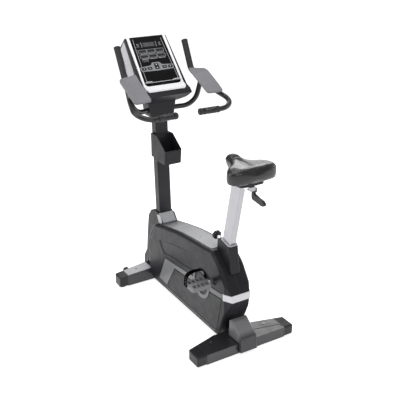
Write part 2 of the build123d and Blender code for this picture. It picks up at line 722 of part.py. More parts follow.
def build_front():
    nose = [
        (-427, 452), (-461, 408), (-478, 313), (-498, 164), (-535, 107), (-538, 53), (-514, 24),
        (-494, 24), (-494, 92), (-447, 92), (-447, 108), (-435, 200), (-415, 270), (-380, 345),
        (-372, 360), (-386, 440),
    ]
    cover = side_slab(nose, -NOSE_X, NOSE_X)
    front_edges = [e for e in long_edges(cover, Axis.X) if e.center().Y < -455 and e.center().Z > 60]
    cover = fillet(front_edges, 10)
    hollow = [
        (-430, 440), (-456, 404), (-473, 313), (-493, 165), (-529, 108), (-532, 60), (-512, 30),
        (-490, 24), (-490, 95), (-444, 96), (-432, 200), (-412, 270), (-377, 345), (-369, 360),
        (-383, 445),
    ]
    cover -= side_slab(hollow, 3.5 - NOSE_X, NOSE_X - 3.5)
    nose_cover = cover - mast_envelope(0.5)

    collar = side_slab(
        [(-333, 463), (-288, 419), (-290, 412), (-333, 403), (-386, 403), (-386, 448)], -44, 44
    )
    collar -= mast_envelope(0.0)
    collar -= cover_form(0, SIDE_X, TOP_ROUND)
    keep("mast_collar", collar)
    cheek = side_slab(
        [(-425, 453), (-345, 466), (-284, 421), (-300, 404), (-340, 396), (-372, 350), (-384, 440)],
        44.5, NOSE_X,
    )
    cheek -= cover_form(0, SIDE_X, TOP_ROUND)
    cheek -= side_slab(nose, -60, 60)
    group = [*nose_cover.solids(), *both_sides(cheek).solids()]
    keep("front_cover", Compound(children=group))

    rear = [
        (420, 150), (428, 156), (452, 152), (529, 92), (539, 20), (518, 12), (518, 66), (420, 66),
    ]
    cover = front_slab([(-52, 10), (52, 10), (48, 160), (-48, 160)], 400, 560)
    cover = cover & side_slab(rear, -60, 60)
    side_edges = [e for e in cover.edges() if abs(e.center().X) > 40 and e.length > 20]
    side_edges = [e for e in side_edges if e.center().Y > 435 and 30 < e.center().Z < 154]
    side_edges = [e for e in side_edges if abs((e % 0.5).X) < 0.5 and e.center().Y + e.center().Z > 590]
    cover = chamfer(side_edges, REAR_CHAMFER)
    hollow = [(410, 146), (450, 146), (524, 88), (535, 26), (520, 26), (520, 66), (410, 66)]
    cover -= side_slab(hollow, -45, 45)
    cover -= cover_form(0, SIDE_X, TOP_ROUND)
    cover -= rear_bar_form(0)
    keep("rear_cover", cover)

    boot = side_slab(boot_outline, -28, 28)
    side_rims = [e for e in boot.edges() if abs(abs(e.center().X) - 28) < 0.1]
    boot = fillet([e for e in side_rims if e.length > 110], 6)
    boot -= post_plane * post_form(GAP + SLEEVE_WALL + TUBE_WALL, -300, -4)
    boot -= post_plane * post_form(GAP + SLEEVE_WALL + 5, -4, 60)
    boot -= post_plane * (Pos(0, -60, PIN_S) * Rot(90, 0, 0) * Cylinder(PIN_R + 1, 80))
    keep("seat_tube_boot", boot)


def mast_envelope(grow):
    """Solid form of the mast, grown outward by grow."""
    profile = RectangleRounded(MAST_X + 2 * grow, MAST_DEPTH + 2 * grow, MAST_CORNER)
    return mast_plane * (Pos(0, 0, -460) * extrude(profile, amount=1300))


def build_cup():
    """Open-topped pocket on the rider's side of the mast, with cheeks round the mast."""
    wall = 2.5
    outer = side_slab(
        [
            (-366, 936), (-328, 936), (-226, 866), (-234, 790), (-352, 790), (-358, 800),
            (-412, 800), (-418, 936),
        ],
        -52, 52,
    )
    back_edges = [e for e in outer.edges() if e.center().Y > -240 and e.length < 90]
    outer = fillet([e for e in back_edges if abs(e.center().X) > 40], 9)
    pocket = side_slab(
        [(-353, 960), (-300, 960), (-226 - wall, 900), (-234 - wall, 790 + wall), (-346.5, 790 + wall)],
        -52 + wall, 52 - wall,
    )
    holder = outer - pocket
    holder -= mast_envelope(0.1)
    holder -= block((-60, 60), (-420, -395), (780, 950))
    keep("cup_holder", holder)


# ---------------------------------------------------------------- handlebar
def rail_points():
    return [
        (207, -459, 1416), (205, -383, 1268), (258, -214, 1178), (308, -42, 1124), (70, -68, 1119),
    ]


def build_handlebar():
    rail = bent_tube(rail_points(), RAIL_RADII, BAR_R, BAR_R - BAR_T)
    low_run = Plane(origin=rail_points()[1], z_dir=Vector(*rail_points()[2]) - Vector(*rail_points()[1]))
    bore = low_run * (Pos(0, 0, 100) * Cylinder(BAR_R - 1, 150))
    for back in (-312, -232):
        plate = Pos(*pad_point(back, -8.5)) * Rot(-PAD_SLOPE, 0, 0) * Box(70, 26, 3)
        share = (back + 383) / 169
        leg_x = 205 + share * 53
        leg_z = 1268 - share * 90
        leg = Pos(leg_x, back, leg_z + 18) * Box(16, 18, 22)
        under_pad = Pos(*pad_point(back, -35)) * Rot(-PAD_SLOPE, 0, 0) * Box(300, 200, 50)
        rail += plate + ((leg & under_pad) - bore)
    keep("handlebar_left", rail)
    keep("handlebar_right", flip(rail))

    cross = bent_tube(cross_points(), CROSS_RADII, BAR_R, BAR_R - BAR_T)
    rail_solid = solid_tube(rail_points(), RAIL_RADII, BAR_R)
    cross -= rail_solid
    cross -= flip(rail_solid)
    cross = max(cross.solids(), key=lambda s: s.volume)
    keep("handlebar_cross", cross)


def cross_points():
    half = [(CLAMP_X, CROSS_Y, CROSS_Z), (189, -318, 1086), (227, -312, 1230)]
    return [(-x, y, z) for x, y, z in reversed(half)] + half


def pad_point(y, lift):
    """Point above or below the elbow pad's mid plane, at the given y."""
    run = y - PAD_MID[1]
    z = PAD_MID[2] - run * sin(radians(PAD_SLOPE)) / cos(radians(PAD_SLOPE))
    return (PAD_MID[0], y + lift * sin(radians(PAD_SLOPE)), z + lift * cos(radians(PAD_SLOPE)))


def build_pads_and_grips():
    outline = [(-52, -108), (46, -93), (57, -70), (57, 52), (54, 115), (-46, 111), (-49, -32)]
    pad_face = make_face(Polyline([(x, y, 0) for x, y in outline], close=True))
    pad = extrude(pad_face, amount=7, both=True, dir=(0, 0, 1))
    pad = fillet(pad.edges().filter_by(Axis.Z), 9)
    pad = fillet(pad.edges().group_by(Axis.Z)[-1], 4)
    pad = Pos(*PAD_MID) * Rot(-PAD_SLOPE, 0, 0) * pad
    keep("elbow_pads", both_sides(pad))

    horn_top = Vector(*rail_points()[0])
    horn_low = Vector(*rail_points()[1])
    horn = Plane(origin=horn_top, z_dir=horn_low - horn_top)
    along_rail = (Vector(*rail_points()[2]) - horn_low).normalized()
    sleeve_path = [horn_top, horn_low, horn_low + along_rail * GRIP_RUN]
    sleeve = bent_tube(sleeve_path, RAIL_RADII[0], GRIP_R, BAR_R)
    grip_end = Vector(*rail_points()[4])
    grip_run = Vector(*rail_points()[3]) - grip_end
    pulse = Plane(origin=grip_end, z_dir=grip_run)
    band = pulse * extrude(Circle(GRIP_R) - Circle(BAR_R), amount=112)
    grips = [*both_sides(sleeve).solids(), *both_sides(band).solids()]
    keep("hand_grips", Compound(children=grips))
    caps = []
    for place in (horn, pulse):
        cap = Pos(0, 0, -5) * Cylinder(GRIP_R, 5, align=(Align.CENTER, Align.CENTER, Align.MIN))
        cap = fillet(cap.edges().sort_by(Axis.Z)[0], 3)
        caps.append(place * cap)
    group = [*both_sides(caps[0]).solids(), *both_sides(caps[1]).solids()]
    keep("bar_end_caps", Compound(children=group))


def build_clamp_cover():
    form = front_slab([(-73, 1040), (73, 1040), (86, 1118), (-86, 1118)], -432, -346)
    inner = front_slab([(-70, 1030), (70, 1030), (82.5, 1115), (-82.5, 1115)], -429, -349)
    side_edges = [e for e in form.edges() if abs(e.center().X) > 70 and 77 < e.length < 82]
    form = fillet(side_edges, 8)
    cover = form - inner
    cover -= solid_tube(cross_points(), CROSS_RADII, BAR_R + 0.5)
    front = cover & block((-100, 100), (-500, CROSS_Y), (1000, 1200))
    rear = cover & block((-100, 100), (CROSS_Y, -300), (1000, 1200))
    keep("clamp_cover", Compound(children=[*front.solids(), *rear.solids()]))


# ---------------------------------------------------------------- console
def on_face(points):
    """(up, out) pairs on the console face as (y, z)."""
    tilt = radians(FACE_TILT)
    return [
        (FACE_Y - up * sin(tilt) + out * cos(tilt), FACE_Z + up * cos(tilt) + out * sin(tilt))
        for up, out in points
    ]


def trapezoid(top_w, low_w, low, high):
    return make_face(
        Polyline([(-low_w, low, 0), (low_w, low, 0), (top_w, high, 0), (-top_w, high, 0)], close=True)
    )


def panel_prism(inset, depth):
    """Form of the console panel with its two rounded lower corners, open at the top."""
    form = trapezoid(
        PANEL_TOP_W - inset, PANEL_LOW_W - inset, PANEL_LOW + inset, PANEL_HIGH + 3 - inset
    )
    prism = extrude(form, amount=depth, both=True)
    low_corners = prism.edges().filter_by(Axis.Z).sort_by(Axis.Y)[0:2]
    return fillet(low_corners, 22)


def build_console():
    bezel = side_slab(
        on_face(
            [(PANEL_HIGH, -BEZEL_D), (PANEL_HIGH, 3), (-146, 3), (-186, 21), (-192, 14), (-160, -BEZEL_D)]
        ),
        -BEZEL_X, BEZEL_X,
    )
    plan = [(-104, -200), (104, -200), (122, -172), (117, 200), (-117, 200), (-122, -172)]
    taper = make_face(Polyline([(x, up, 0) for x, up in plan], close=True))
    bezel = bezel & face_plane * extrude(taper, amount=60, both=True)
    bezel -= face_plane * panel_prism(0, 40)
    keep("console_bezel", bezel)

    panel = panel_prism(0, 20)
    panel = panel & Pos(0, 0, -BEZEL_D / 2) * Box(300, 2 * PANEL_HIGH, BEZEL_D)
    panel -= Pos(0, DISPLAY_AT, 0) * Box(DISPLAY_W, DISPLAY_H, 4)
    for x, up in KEY_PLACES:
        panel -= Pos(x, up, 0) * Box(KEY_W + 1, KEY_H + 1, 40)
    keep("console_panel", face_plane * panel)
    pane = Pos(0, DISPLAY_AT, -1) * Box(DISPLAY_W, DISPLAY_H, 2)
    keep("display_window", face_plane * pane)
    for name, (x, up) in zip(KEY_NAMES, KEY_PLACES):
        key = Pos(x, up, -2) * Box(KEY_W, KEY_H, 7.2)
        key = fillet(key.edges().filter_by(Axis.Z), 3)
        keep(name, face_plane * key)

    lip = Pos(0, -128, 1.5) * Box(160, 3, 3)
    for x in (-82, 82):
        lip += Pos(x, -128, 7) * Box(46, 4, 14)
    keep("book_rest", face_plane * lip)

    shell_side = [
        *on_face([(PANEL_HIGH, -BEZEL_D), (-160, -BEZEL_D), (-192, 14), (-222, 13)]),
        (-346, 1118), (-432, 1118), (-492, 1262), (-590, 1384),
    ]
    shell = side_slab(shell_side, -SHELL_X, SHELL_X)
    back = [e for e in long_edges(shell, Axis.X) if e.center().Y < -480 and e.center().Z < 1420]
    shell = fillet(back, 14)
    cavity = offset(side_outline(shell_side), amount=-WALL, kind=Kind.INTERSECTION)
    cavity = extrude(Pos(-SHELL_X + WALL, 0, 0) * cavity, amount=2 * (SHELL_X - WALL), dir=(1, 0, 0))
    neck = [(84, 1112), (136, 1136), (SHELL_X, 1176), (126, 1450)]
    inner_neck = [(80, 1112), (132.8, 1139), (138.6, 1177), (122.7, 1450)]
    rounded_neck = front_slab(neck + [(-x, z) for x, z in reversed(neck)], -700, -200)
    low_corners = [e for e in long_edges(rounded_neck, Axis.Y) if e.center().Z < 1180]
    shell = shell & fillet([e for e in low_corners if abs(e.center().X) > 100], 12)
    room = front_slab(inner_neck + [(-x, z) for x, z in reversed(inner_neck)], -700, -200)
    shell -= cavity & room
    shell -= face_plane * panel_prism(8, 30)
    keep("console_shell", shell)


def build_bolts():
    bolts = []
    for x in (-1, 1):
        bolts.append(upright(7, FRONT_TOP_MID - 9, FRONT_TOP_MID + 1, x * 152, -446))
        bolts.append(upright(7, REAR_TOP, REAR_TOP + 3, x * 166, 428))
    bolts = [b - front_bar_form(0) for b in bolts]
    keep("frame_bolts", Compound(children=[b.solid() for b in bolts]))


build_base()
build_transport_wheels()
build_frame()
build_drive()
build_cranks()
build_pedals()
build_seat()
build_covers()
build_trim()
build_front()
build_cup()
build_handlebar()
build_pads_and_grips()
build_clamp_cover()
build_console()
build_bolts()

os.makedirs("parts", exist_ok=True)
for old in os.listdir("parts"):
    if old.endswith(".step"):
        os.remove(os.path.join("parts", old))
for node, shape in parts.items():
    export_step(shape, os.path.join("parts", node + ".step"))
print(len(parts), "parts written")
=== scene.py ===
import json
import math

import bmesh
import bpy
from mathutils import Matrix, Vector
from mathutils.geometry import tessellate_polygon


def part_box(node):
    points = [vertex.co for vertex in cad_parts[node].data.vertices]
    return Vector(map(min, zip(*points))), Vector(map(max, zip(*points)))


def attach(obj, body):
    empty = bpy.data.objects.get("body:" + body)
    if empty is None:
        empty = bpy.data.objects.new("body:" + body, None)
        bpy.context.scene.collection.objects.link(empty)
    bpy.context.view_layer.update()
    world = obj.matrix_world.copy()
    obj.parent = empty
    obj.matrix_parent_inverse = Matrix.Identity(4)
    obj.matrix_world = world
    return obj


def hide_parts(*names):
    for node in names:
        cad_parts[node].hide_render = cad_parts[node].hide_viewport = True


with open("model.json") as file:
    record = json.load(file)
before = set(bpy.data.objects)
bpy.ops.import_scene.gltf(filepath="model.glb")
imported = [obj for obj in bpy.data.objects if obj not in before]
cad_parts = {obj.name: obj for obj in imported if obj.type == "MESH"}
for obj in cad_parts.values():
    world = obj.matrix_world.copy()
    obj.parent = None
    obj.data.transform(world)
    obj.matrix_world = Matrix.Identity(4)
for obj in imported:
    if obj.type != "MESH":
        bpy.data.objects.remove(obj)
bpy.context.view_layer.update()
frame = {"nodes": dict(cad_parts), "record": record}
NODES = frame["nodes"]
SLOT_OF = {s["node"]: s["material_slot"] for s in frame["record"]["subparts"]}
MM = 0.001

# ---------------------------------------------------------------- camera, lights and floor
CAMERA_AT = (1.776, 2.971, 2.135)
AZIMUTH, ELEVATION = math.radians(148.7), math.radians(23.1)
LENS, SENSOR = 63.24, 36
FLOOR_HALF = 30.0
MIDDLE = (0.0, 0.0, 0.7)
LIGHTS = [
    # name, place, width, height, watts
    ("top", (0.3, 0.2, 3.4), 2.6, 3.4, 52),
    ("key", (3.0, -0.6, 2.2), 1.6, 2.4, 34),
    ("rear", (0.6, 3.6, 2.6), 2.6, 1.6, 24),
    ("fill", (-3.0, 1.0, 1.5), 2.0, 2.4, 16),
    ("front", (-1.7, -2.5, 2.3), 2.4, 1.6, 34),
]

scene = bpy.context.scene
scene.view_settings.view_transform = "Standard"
back = Vector((
    math.sin(AZIMUTH) * math.cos(ELEVATION),
    -math.cos(AZIMUTH) * math.cos(ELEVATION),
    math.sin(ELEVATION),
))
camera_data = bpy.data.cameras.new("camera")
camera_data.lens = LENS
camera_data.sensor_width = SENSOR
camera = bpy.data.objects.new("camera", camera_data)
scene.collection.objects.link(camera)
camera.location = CAMERA_AT
camera.rotation_mode = "QUATERNION"
camera.rotation_quaternion = (-back).to_track_quat("-Z", "Y")
scene.camera = camera

for name, place, width, height, watts in LIGHTS:
    data = bpy.data.lights.new(name, "AREA")
    data.shape = "RECTANGLE"
    data.size, data.size_y = width, height
    data.energy = watts
    light = bpy.data.objects.new(name, data)
    light.location = place
    light.rotation_mode = "QUATERNION"
    light.rotation_quaternion = (Vector(MIDDLE) - Vector(place)).to_track_quat("-Z", "Y")
    scene.collection.objects.link(light)

BACKDROP_WHITE, STUDIO_GLOW = 1.0, 0.4
world = bpy.data.worlds.new("studio")
world.use_nodes = True
sky = world.node_tree
backdrop = sky.nodes["Background"]
backdrop.inputs["Color"].default_value = (1.0, 1.0, 1.0, 1)
light_path = sky.nodes.new("ShaderNodeLightPath")
glow = sky.nodes.new("ShaderNodeMapRange")
glow.inputs["To Min"].default_value = STUDIO_GLOW
glow.inputs["To Max"].default_value = BACKDROP_WHITE
sky.links.new(light_path.outputs["Is Camera Ray"], glow.inputs["Value"])
sky.links.new(glow.outputs["Result"], backdrop.inputs["Strength"])
scene.world = world


# ---------------------------------------------------------------- materials
class Finish:
    """Builds one node material: mottled colour, soft edges, fine grain and varied roughness."""

    def __init__(self, name):
        self.material = bpy.data.materials.new(name)
        self.material.use_nodes = True
        self.tree = self.material.node_tree
        self.shader = self.tree.nodes["Principled BSDF"]
        self.coords = self.add("ShaderNodeTexCoord").outputs["Object"]

    def add(self, kind, **values):
        node = self.tree.nodes.new(kind)
        for key, value in values.items():
            setattr(node, key, value)
        return node

    def link(self, source, socket):
        self.tree.links.new(source, socket)

    def noise(self, scale, detail=3.0, stretch=None, distortion=0.0):
        """Noise in metres; stretch scales the three axes separately."""
        node = self.add("ShaderNodeTexNoise")
        node.inputs["Scale"].default_value = scale
        node.inputs["Detail"].default_value = detail
        node.inputs["Distortion"].default_value = distortion
        self.link(self.stretched(stretch) if stretch else self.coords, node.inputs["Vector"])
        return node.outputs["Fac"]

    def stretched(self, stretch):
        node = self.add("ShaderNodeMapping")
        node.inputs["Scale"].default_value = stretch
        self.link(self.coords, node.inputs["Vector"])
        return node.outputs["Vector"]

    def ramp(self, source, stops):
        node = self.add("ShaderNodeValToRGB")
        elements = node.color_ramp.elements
        while len(elements) < len(stops):
            elements.new(0.5)
        for element, (place, colour) in zip(elements, stops):
            element.position = place
            element.color = (*colour, 1)
        self.link(source, node.inputs["Fac"])
        return node.outputs["Color"]

    def span(self, source, low, high, from_low=0.0, from_high=1.0):
        node = self.add("ShaderNodeMapRange")
        node.inputs["From Min"].default_value = from_low
        node.inputs["From Max"].default_value = from_high
        node.inputs["To Min"].default_value = low
        node.inputs["To Max"].default_value = high
        self.link(source, node.inputs["Value"])
        return node.outputs["Result"]

    def mix(self, share, first, second):
        node = self.add("ShaderNodeMix", data_type="RGBA")
        for source, socket in ((share, 0), (first, 6), (second, 7)):
            if isinstance(source, tuple):
                node.inputs[socket].default_value = (*source, 1)
            else:
                self.link(source, node.inputs[socket])
        return node.outputs[2]

    def math(self, operation, first, second=None):
        node = self.add("ShaderNodeMath", operation=operation)
        for source, socket in ((first, 0), (second, 1)):
            if isinstance(source, (int, float)):
                node.inputs[socket].default_value = source
            elif source is not None:
                self.link(source, node.inputs[socket])
        return node.outputs[0]

    def soft_edges(self, radius, samples=4):
        node = self.add("ShaderNodeBevel", samples=samples)
        node.inputs["Radius"].default_value = radius
        return node.outputs["Normal"]

    def edge_mask(self, soft, gain=6.0):
        """1 on edges that are paler from use and carry a painted highlight, and 0 on flats, from how
        far the softened normal leans.
        """
        plain = self.add("ShaderNodeNewGeometry").outputs["Normal"]
        lean = self.add("ShaderNodeVectorMath", operation="DOT_PRODUCT")
        self.link(soft, lean.inputs[0])
        self.link(plain, lean.inputs[1])
        off = self.math("SUBTRACT", 1.0, lean.outputs["Value"])
        return self.math("MINIMUM", self.math("MULTIPLY", off, gain), 1.0)

    def bump(self, height, strength, distance, under=None):
        node = self.add("ShaderNodeBump")
        node.inputs["Strength"].default_value = strength
        node.inputs["Distance"].default_value = distance
        self.link(height, node.inputs["Height"])
        if under is not None:
            self.link(under, node.inputs["Normal"])
        return node.outputs["Normal"]

    def done(self, colour, rough, normal, metal=0.0, coat=0.0, specular=0.5):
        sockets = self.shader.inputs
        self.link(colour, sockets["Base Color"])
        self.link(rough, sockets["Roughness"])
        self.link(normal, sockets["Normal"])
        sockets["Metallic"].default_value = metal
        sockets["Coat Weight"].default_value = coat
        sockets["Coat Roughness"].default_value = 0.12
        sockets["Specular IOR Level"].default_value = specular
        return self.material


def shade(colour, factor):
    return tuple(min(1.0, c * factor) for c in colour)


def moulded(name, colour, rough, grain=1600.0, depth=0.25, mottle=0.12, wear_and_highlight=0.35, edge=0.0014,
            metal=0.0, coat=0.0, patch=7.0, specular=0.28, tone_and_shade=None):
    """Moulded plastic, rubber or painted metal: fine grain, cloudy colour, paler edges that are
    partly from use and partly a painted highlight.
    """
    f = Finish(name)
    cloud = f.noise(patch, 5.0, distortion=0.6)
    body = f.ramp(cloud, [(0.3, shade(colour, 1 - mottle)), (0.7, shade(colour, 1 + mottle))])
    if tone_and_shade is not None:
        body = tone_and_shade(f, body)
    speck = f.noise(grain * 0.6, 2.0)
    body = f.mix(f.span(speck, 0.0, 0.35, 0.45, 0.75), body, shade(colour, 1.5))
    soft = f.soft_edges(edge)
    # Paler edges: partly from use, partly a painted highlight along the moulded rims.
    scuff_and_highlight_mask = f.math("MULTIPLY", f.edge_mask(soft), f.span(f.noise(60.0, 4.0), 0.2, 1.0, 0.35, 0.65))
    worn_and_lit_edge = tuple(min(1.0, c * 1.7 + 0.03) for c in colour)
    body = f.mix(f.math("MULTIPLY", scuff_and_highlight_mask, wear_and_highlight), body, worn_and_lit_edge)
    roughness = f.span(f.noise(22.0, 4.0), rough - 0.06, rough + 0.08, 0.3, 0.7)
    normal = f.bump(f.noise(grain, 2.0), depth, 0.0003, soft)
    return f.done(body, roughness, normal, metal, coat, specular)


def brushed(name, colour, rough, stretch, depth=0.2, mottle=0.1, edge=0.001, metal=1.0):
    """Metal with fine lines: stretch is small along the lines and large across them."""
    f = Finish(name)
    lines = f.noise(1.0, 6.0, stretch)
    body = f.ramp(lines, [(0.3, shade(colour, 1 - mottle)), (0.7, shade(colour, 1 + mottle))])
    body = f.mix(f.span(f.noise(9.0, 4.0), 0.0, 0.5, 0.4, 0.8), body, shade(colour, 0.85))
    soft = f.soft_edges(edge)
    roughness = f.span(lines, rough - 0.07, rough + 0.1, 0.3, 0.7)
    return f.done(body, roughness, f.bump(lines, depth, 0.0002, soft), metal)


def vinyl(name, colour, rough, pebble=520.0, depth=0.12, coat=0.15, mottle=0.2):
    """Soft skin over foam: pebbled leather grain with fine stretch lines."""
    f = Finish(name)
    cells = f.add("ShaderNodeTexVoronoi", feature="DISTANCE_TO_EDGE")
    cells.inputs["Scale"].default_value = pebble
    wobble = f.add("ShaderNodeTexNoise")
    wobble.inputs["Scale"].default_value = pebble * 0.7
    f.link(f.coords, wobble.inputs["Vector"])
    blend = f.add("ShaderNodeMix", data_type="VECTOR")
    blend.inputs[0].default_value = 0.002
    f.link(f.coords, blend.inputs[4])
    f.link(wobble.outputs["Color"], blend.inputs[5])
    f.link(blend.outputs[1], cells.inputs["Vector"])
    grain = f.span(cells.outputs["Distance"], 0.0, 1.0, 0.0, 0.12)
    cloud = f.noise(11.0, 5.0, distortion=0.4)
    body = f.ramp(cloud, [(0.3, shade(colour, 1 - mottle)), (0.7, shade(colour, 1 + mottle))])
    body = f.mix(f.span(grain, 0.35, 0.0), body, shade(colour, 0.5))
    roughness = f.span(f.noise(30.0, 4.0), rough - 0.05, rough + 0.1, 0.3, 0.7)
    height = f.math("ADD", grain, f.math("MULTIPLY", f.noise(140.0, 3.0), 0.8))
    return f.done(body, roughness, f.bump(height, depth, 0.00025), 0.0, coat)


def along(axis, low, high, second):
    """Colour that changes to a second colour along one axis, between two places in metres; on the
    top strip it is painted shade.
    """
    def apply(f, body):
        split = f.add("ShaderNodeSeparateXYZ")
        f.link(f.coords, split.inputs[0])
        return f.mix(f.span(split.outputs[axis], 0.0, 1.0, low, high), body, second)
    return apply


FINISHES = {
    "foot_rubber": moulded("foot_rubber", (0.014, 0.014, 0.015), 0.62, 900.0, 0.35, wear_and_highlight=0.2),
    "wheel_rubber": moulded("wheel_rubber", (0.018, 0.018, 0.02), 0.55, 700.0, 0.35, wear_and_highlight=0.3),
    "frame_paint": moulded("frame_paint", (0.018, 0.018, 0.021), 0.3, 1300.0, 0.12, wear_and_highlight=0.6,
                           edge=0.0024, coat=0.3, specular=0.4),
    "end_cap_plastic": moulded("end_cap_plastic", (0.016, 0.016, 0.018), 0.42, 1500.0, 0.3,
                               edge=0.002),
    "bearing_steel": brushed("bearing_steel", (0.5, 0.5, 0.52), 0.3, (40, 900, 900)),
    "sleeve_plastic": moulded("sleeve_plastic", (0.42, 0.42, 0.44), 0.32, mottle=0.08),
    "mast_paint": moulded("mast_paint", (0.014, 0.014, 0.017), 0.36, 1300.0, 0.16, coat=0.1,
                          edge=0.003, specular=0.2),
    "silver_plastic": moulded("silver_plastic", (0.36, 0.365, 0.38), 0.32, 1900.0, 0.12,
                              mottle=0.07, wear_and_highlight=0.5),
    "cover_plastic": moulded("cover_plastic", (0.0135, 0.0135, 0.0165), 0.36, 1500.0, 0.18,
                             wear_and_highlight=0.45, edge=0.004, specular=0.2),
    "grey_plastic": moulded("grey_plastic", (0.15, 0.15, 0.158), 0.34, 1700.0, 0.16, mottle=0.08,
                            edge=0.003, tone_and_shade=along(1, 0.500, 0.524, (0.03, 0.03, 0.034))),
    "panel_plastic": moulded("panel_plastic", (0.014, 0.014, 0.0165), 0.46, 1400.0, 0.3,
                             specular=0.35),
    "band_plastic": moulded("band_plastic", (0.145, 0.146, 0.152), 0.34, 1700.0, 0.16, mottle=0.07,
                            wear_and_highlight=0.5, tone_and_shade=along(1, 0.396, 0.402, (0.62, 0.62, 0.64))),
    "bar_paint": moulded("bar_paint", (0.01, 0.01, 0.0115), 0.3, 1200.0, 0.12, coat=0.15,
                         specular=0.4),
    "pad_foam": moulded("pad_foam", (0.17, 0.17, 0.185), 0.58, 1100.0, 0.45, mottle=0.09,
                        wear_and_highlight=0.15, specular=0.35),
    "grip_rubber": moulded("grip_rubber", (0.02, 0.02, 0.023), 0.5, 900.0, 0.4),
    "shell_plastic": moulded("shell_plastic", (0.015, 0.015, 0.018), 0.38, 1500.0, 0.2,
                             wear_and_highlight=0.35, edge=0.004, specular=0.2),
    "bezel_plastic": moulded("bezel_plastic", (0.8, 0.8, 0.82), 0.18, 2200.0, 0.06, mottle=0.03,
                             wear_and_highlight=0.1, coat=0.5, edge=0.003),
    "panel_gloss": moulded("panel_gloss", (0.0025, 0.0025, 0.003), 0.3, 2400.0, 0.05, mottle=0.3,
                           wear_and_highlight=0.1, specular=0.06),
    "display_glass": moulded("display_glass", (0.018, 0.019, 0.021), 0.2, 2400.0, 0.04, mottle=0.2,
                             wear_and_highlight=0.1, specular=0.1),
    "belt_rubber": moulded("belt_rubber", (0.012, 0.012, 0.012), 0.6, 600.0, 0.5),
    "bolt_steel": brushed("bolt_steel", (0.32, 0.32, 0.34), 0.32, (500, 500, 80)),
    "magnet_steel": brushed("magnet_steel", (0.2, 0.2, 0.21), 0.42, (300, 300, 300)),
    "bracket_steel": moulded("bracket_steel", (0.04, 0.04, 0.044), 0.38, 1200.0, 0.2),
    "flywheel_iron": brushed("flywheel_iron", (0.23, 0.23, 0.24), 0.42, (900, 60, 60)),
    "pulley_plastic": moulded("pulley_plastic", (0.025, 0.025, 0.026), 0.48),
    "crank_paint": moulded("crank_paint", (0.05, 0.05, 0.054), 0.28, 1200.0, 0.14, coat=0.3,
                           wear_and_highlight=0.5),
    "chrome": brushed("chrome", (0.82, 0.82, 0.84), 0.1, (200, 900, 900), 0.06, 0.05),
    "pedal_plastic": moulded("pedal_plastic", (0.15, 0.15, 0.158), 0.42, 800.0, 0.4, edge=0.002),
    "strap_rubber": moulded("strap_rubber", (0.15, 0.15, 0.16), 0.46, 900.0, 0.35, edge=0.001),
    "post_steel": brushed("post_steel", (0.4, 0.4, 0.42), 0.34, (700, 700, 14), 0.12, 0.06,
                          metal=0.8),
    "saddle_vinyl": vinyl("saddle_vinyl", (0.0075, 0.0075, 0.009), 0.27),
    "lever_plastic": moulded("lever_plastic", (0.012, 0.012, 0.013), 0.34, 1200.0, 0.3),
    "knob_plastic": moulded("knob_plastic", (0.013, 0.013, 0.014), 0.36, 1000.0, 0.35),
    "key_rubber": moulded("key_rubber", (0.012, 0.012, 0.013), 0.44, 1500.0, 0.25),
}
# The silver top strip is painted darker towards the front: painted shade standing in for its fading
# reflection.
TOP_STRIP = moulded("top_strip_silver", (0.3, 0.303, 0.315), 0.32, 1900.0, 0.12, mottle=0.07,
                    wear_and_highlight=0.5, tone_and_shade=along(1, -0.16, -0.30, (0.035, 0.035, 0.04)))
FLOOR_FINISH = moulded("studio_floor", (0.88, 0.88, 0.88), 0.75, 60.0, 0.02, mottle=0.004,
                       wear_and_highlight=0.0, specular=0.1)
floor_glow = FLOOR_FINISH.node_tree.nodes["Principled BSDF"].inputs
floor_glow["Emission Color"].default_value = (1.0, 1.0, 1.0, 1)
floor_glow["Emission Strength"].default_value = 0.72
PRINT = moulded("printed_ink", (0.36, 0.36, 0.38), 0.4, 2600.0, 0.05, mottle=0.1, wear_and_highlight=0.1)
DARK_PRINT = moulded("window_tint", (0.022, 0.023, 0.025), 0.3, 2400.0, 0.05, mottle=0.25,
                     specular=0.06)
KEY_PRINT = moulded("key_ink", (0.7, 0.7, 0.72), 0.4, 2600.0, 0.05, mottle=0.08, wear_and_highlight=0.1)
BAND_PRINT = moulded("band_ink", (0.21, 0.212, 0.22), 0.36, 2600.0, 0.08, mottle=0.1, wear_and_highlight=0.2)

for node, obj in NODES.items():
    obj.data.materials.clear()
    obj.data.materials.append(FINISHES[SLOT_OF[node]])
NODES["top_strips"].data.materials[0] = TOP_STRIP

floor_mesh = bpy.data.meshes.new("floor")
floor_mesh.from_pydata(
    [(-FLOOR_HALF, -FLOOR_HALF, 0), (FLOOR_HALF, -FLOOR_HALF, 0),
     (FLOOR_HALF, FLOOR_HALF, 0), (-FLOOR_HALF, FLOOR_HALF, 0)], [], [(0, 1, 2, 3)],
)
floor_mesh.materials.append(FLOOR_FINISH)
floor = bpy.data.objects.new("floor", floor_mesh)
scene.collection.objects.link(floor)


# ---------------------------------------------------------------- frames, in millimetres
def frame_at(origin, x_dir, z_dir):
    """Local frame: columns are its x, y and z directions and its origin, in metres."""
    x_dir, z_dir = Vector(x_dir).normalized(), Vector(z_dir).normalized()
    x_dir = (x_dir - z_dir * x_dir.dot(z_dir)).normalized()
    y_dir = z_dir.cross(x_dir)
    rows = Matrix((x_dir, y_dir, z_dir)).transposed().to_4x4()
    return Matrix.Translation(Vector(origin) * MM) @ rows


def leaning(degrees):
    return (0.0, math.sin(math.radians(degrees)), math.cos(math.radians(degrees)))


WORLD = Matrix.Identity(4)
POST = frame_at((0, 334, 555.5), (1, 0, 0), leaning(12.2))
FACE = frame_at((0, -424, 1329), (-1, 0, 0), leaning(90 - 41.8))
SIDE = frame_at((0, 0, 0), (0, 1, 0), (1, 0, 0))


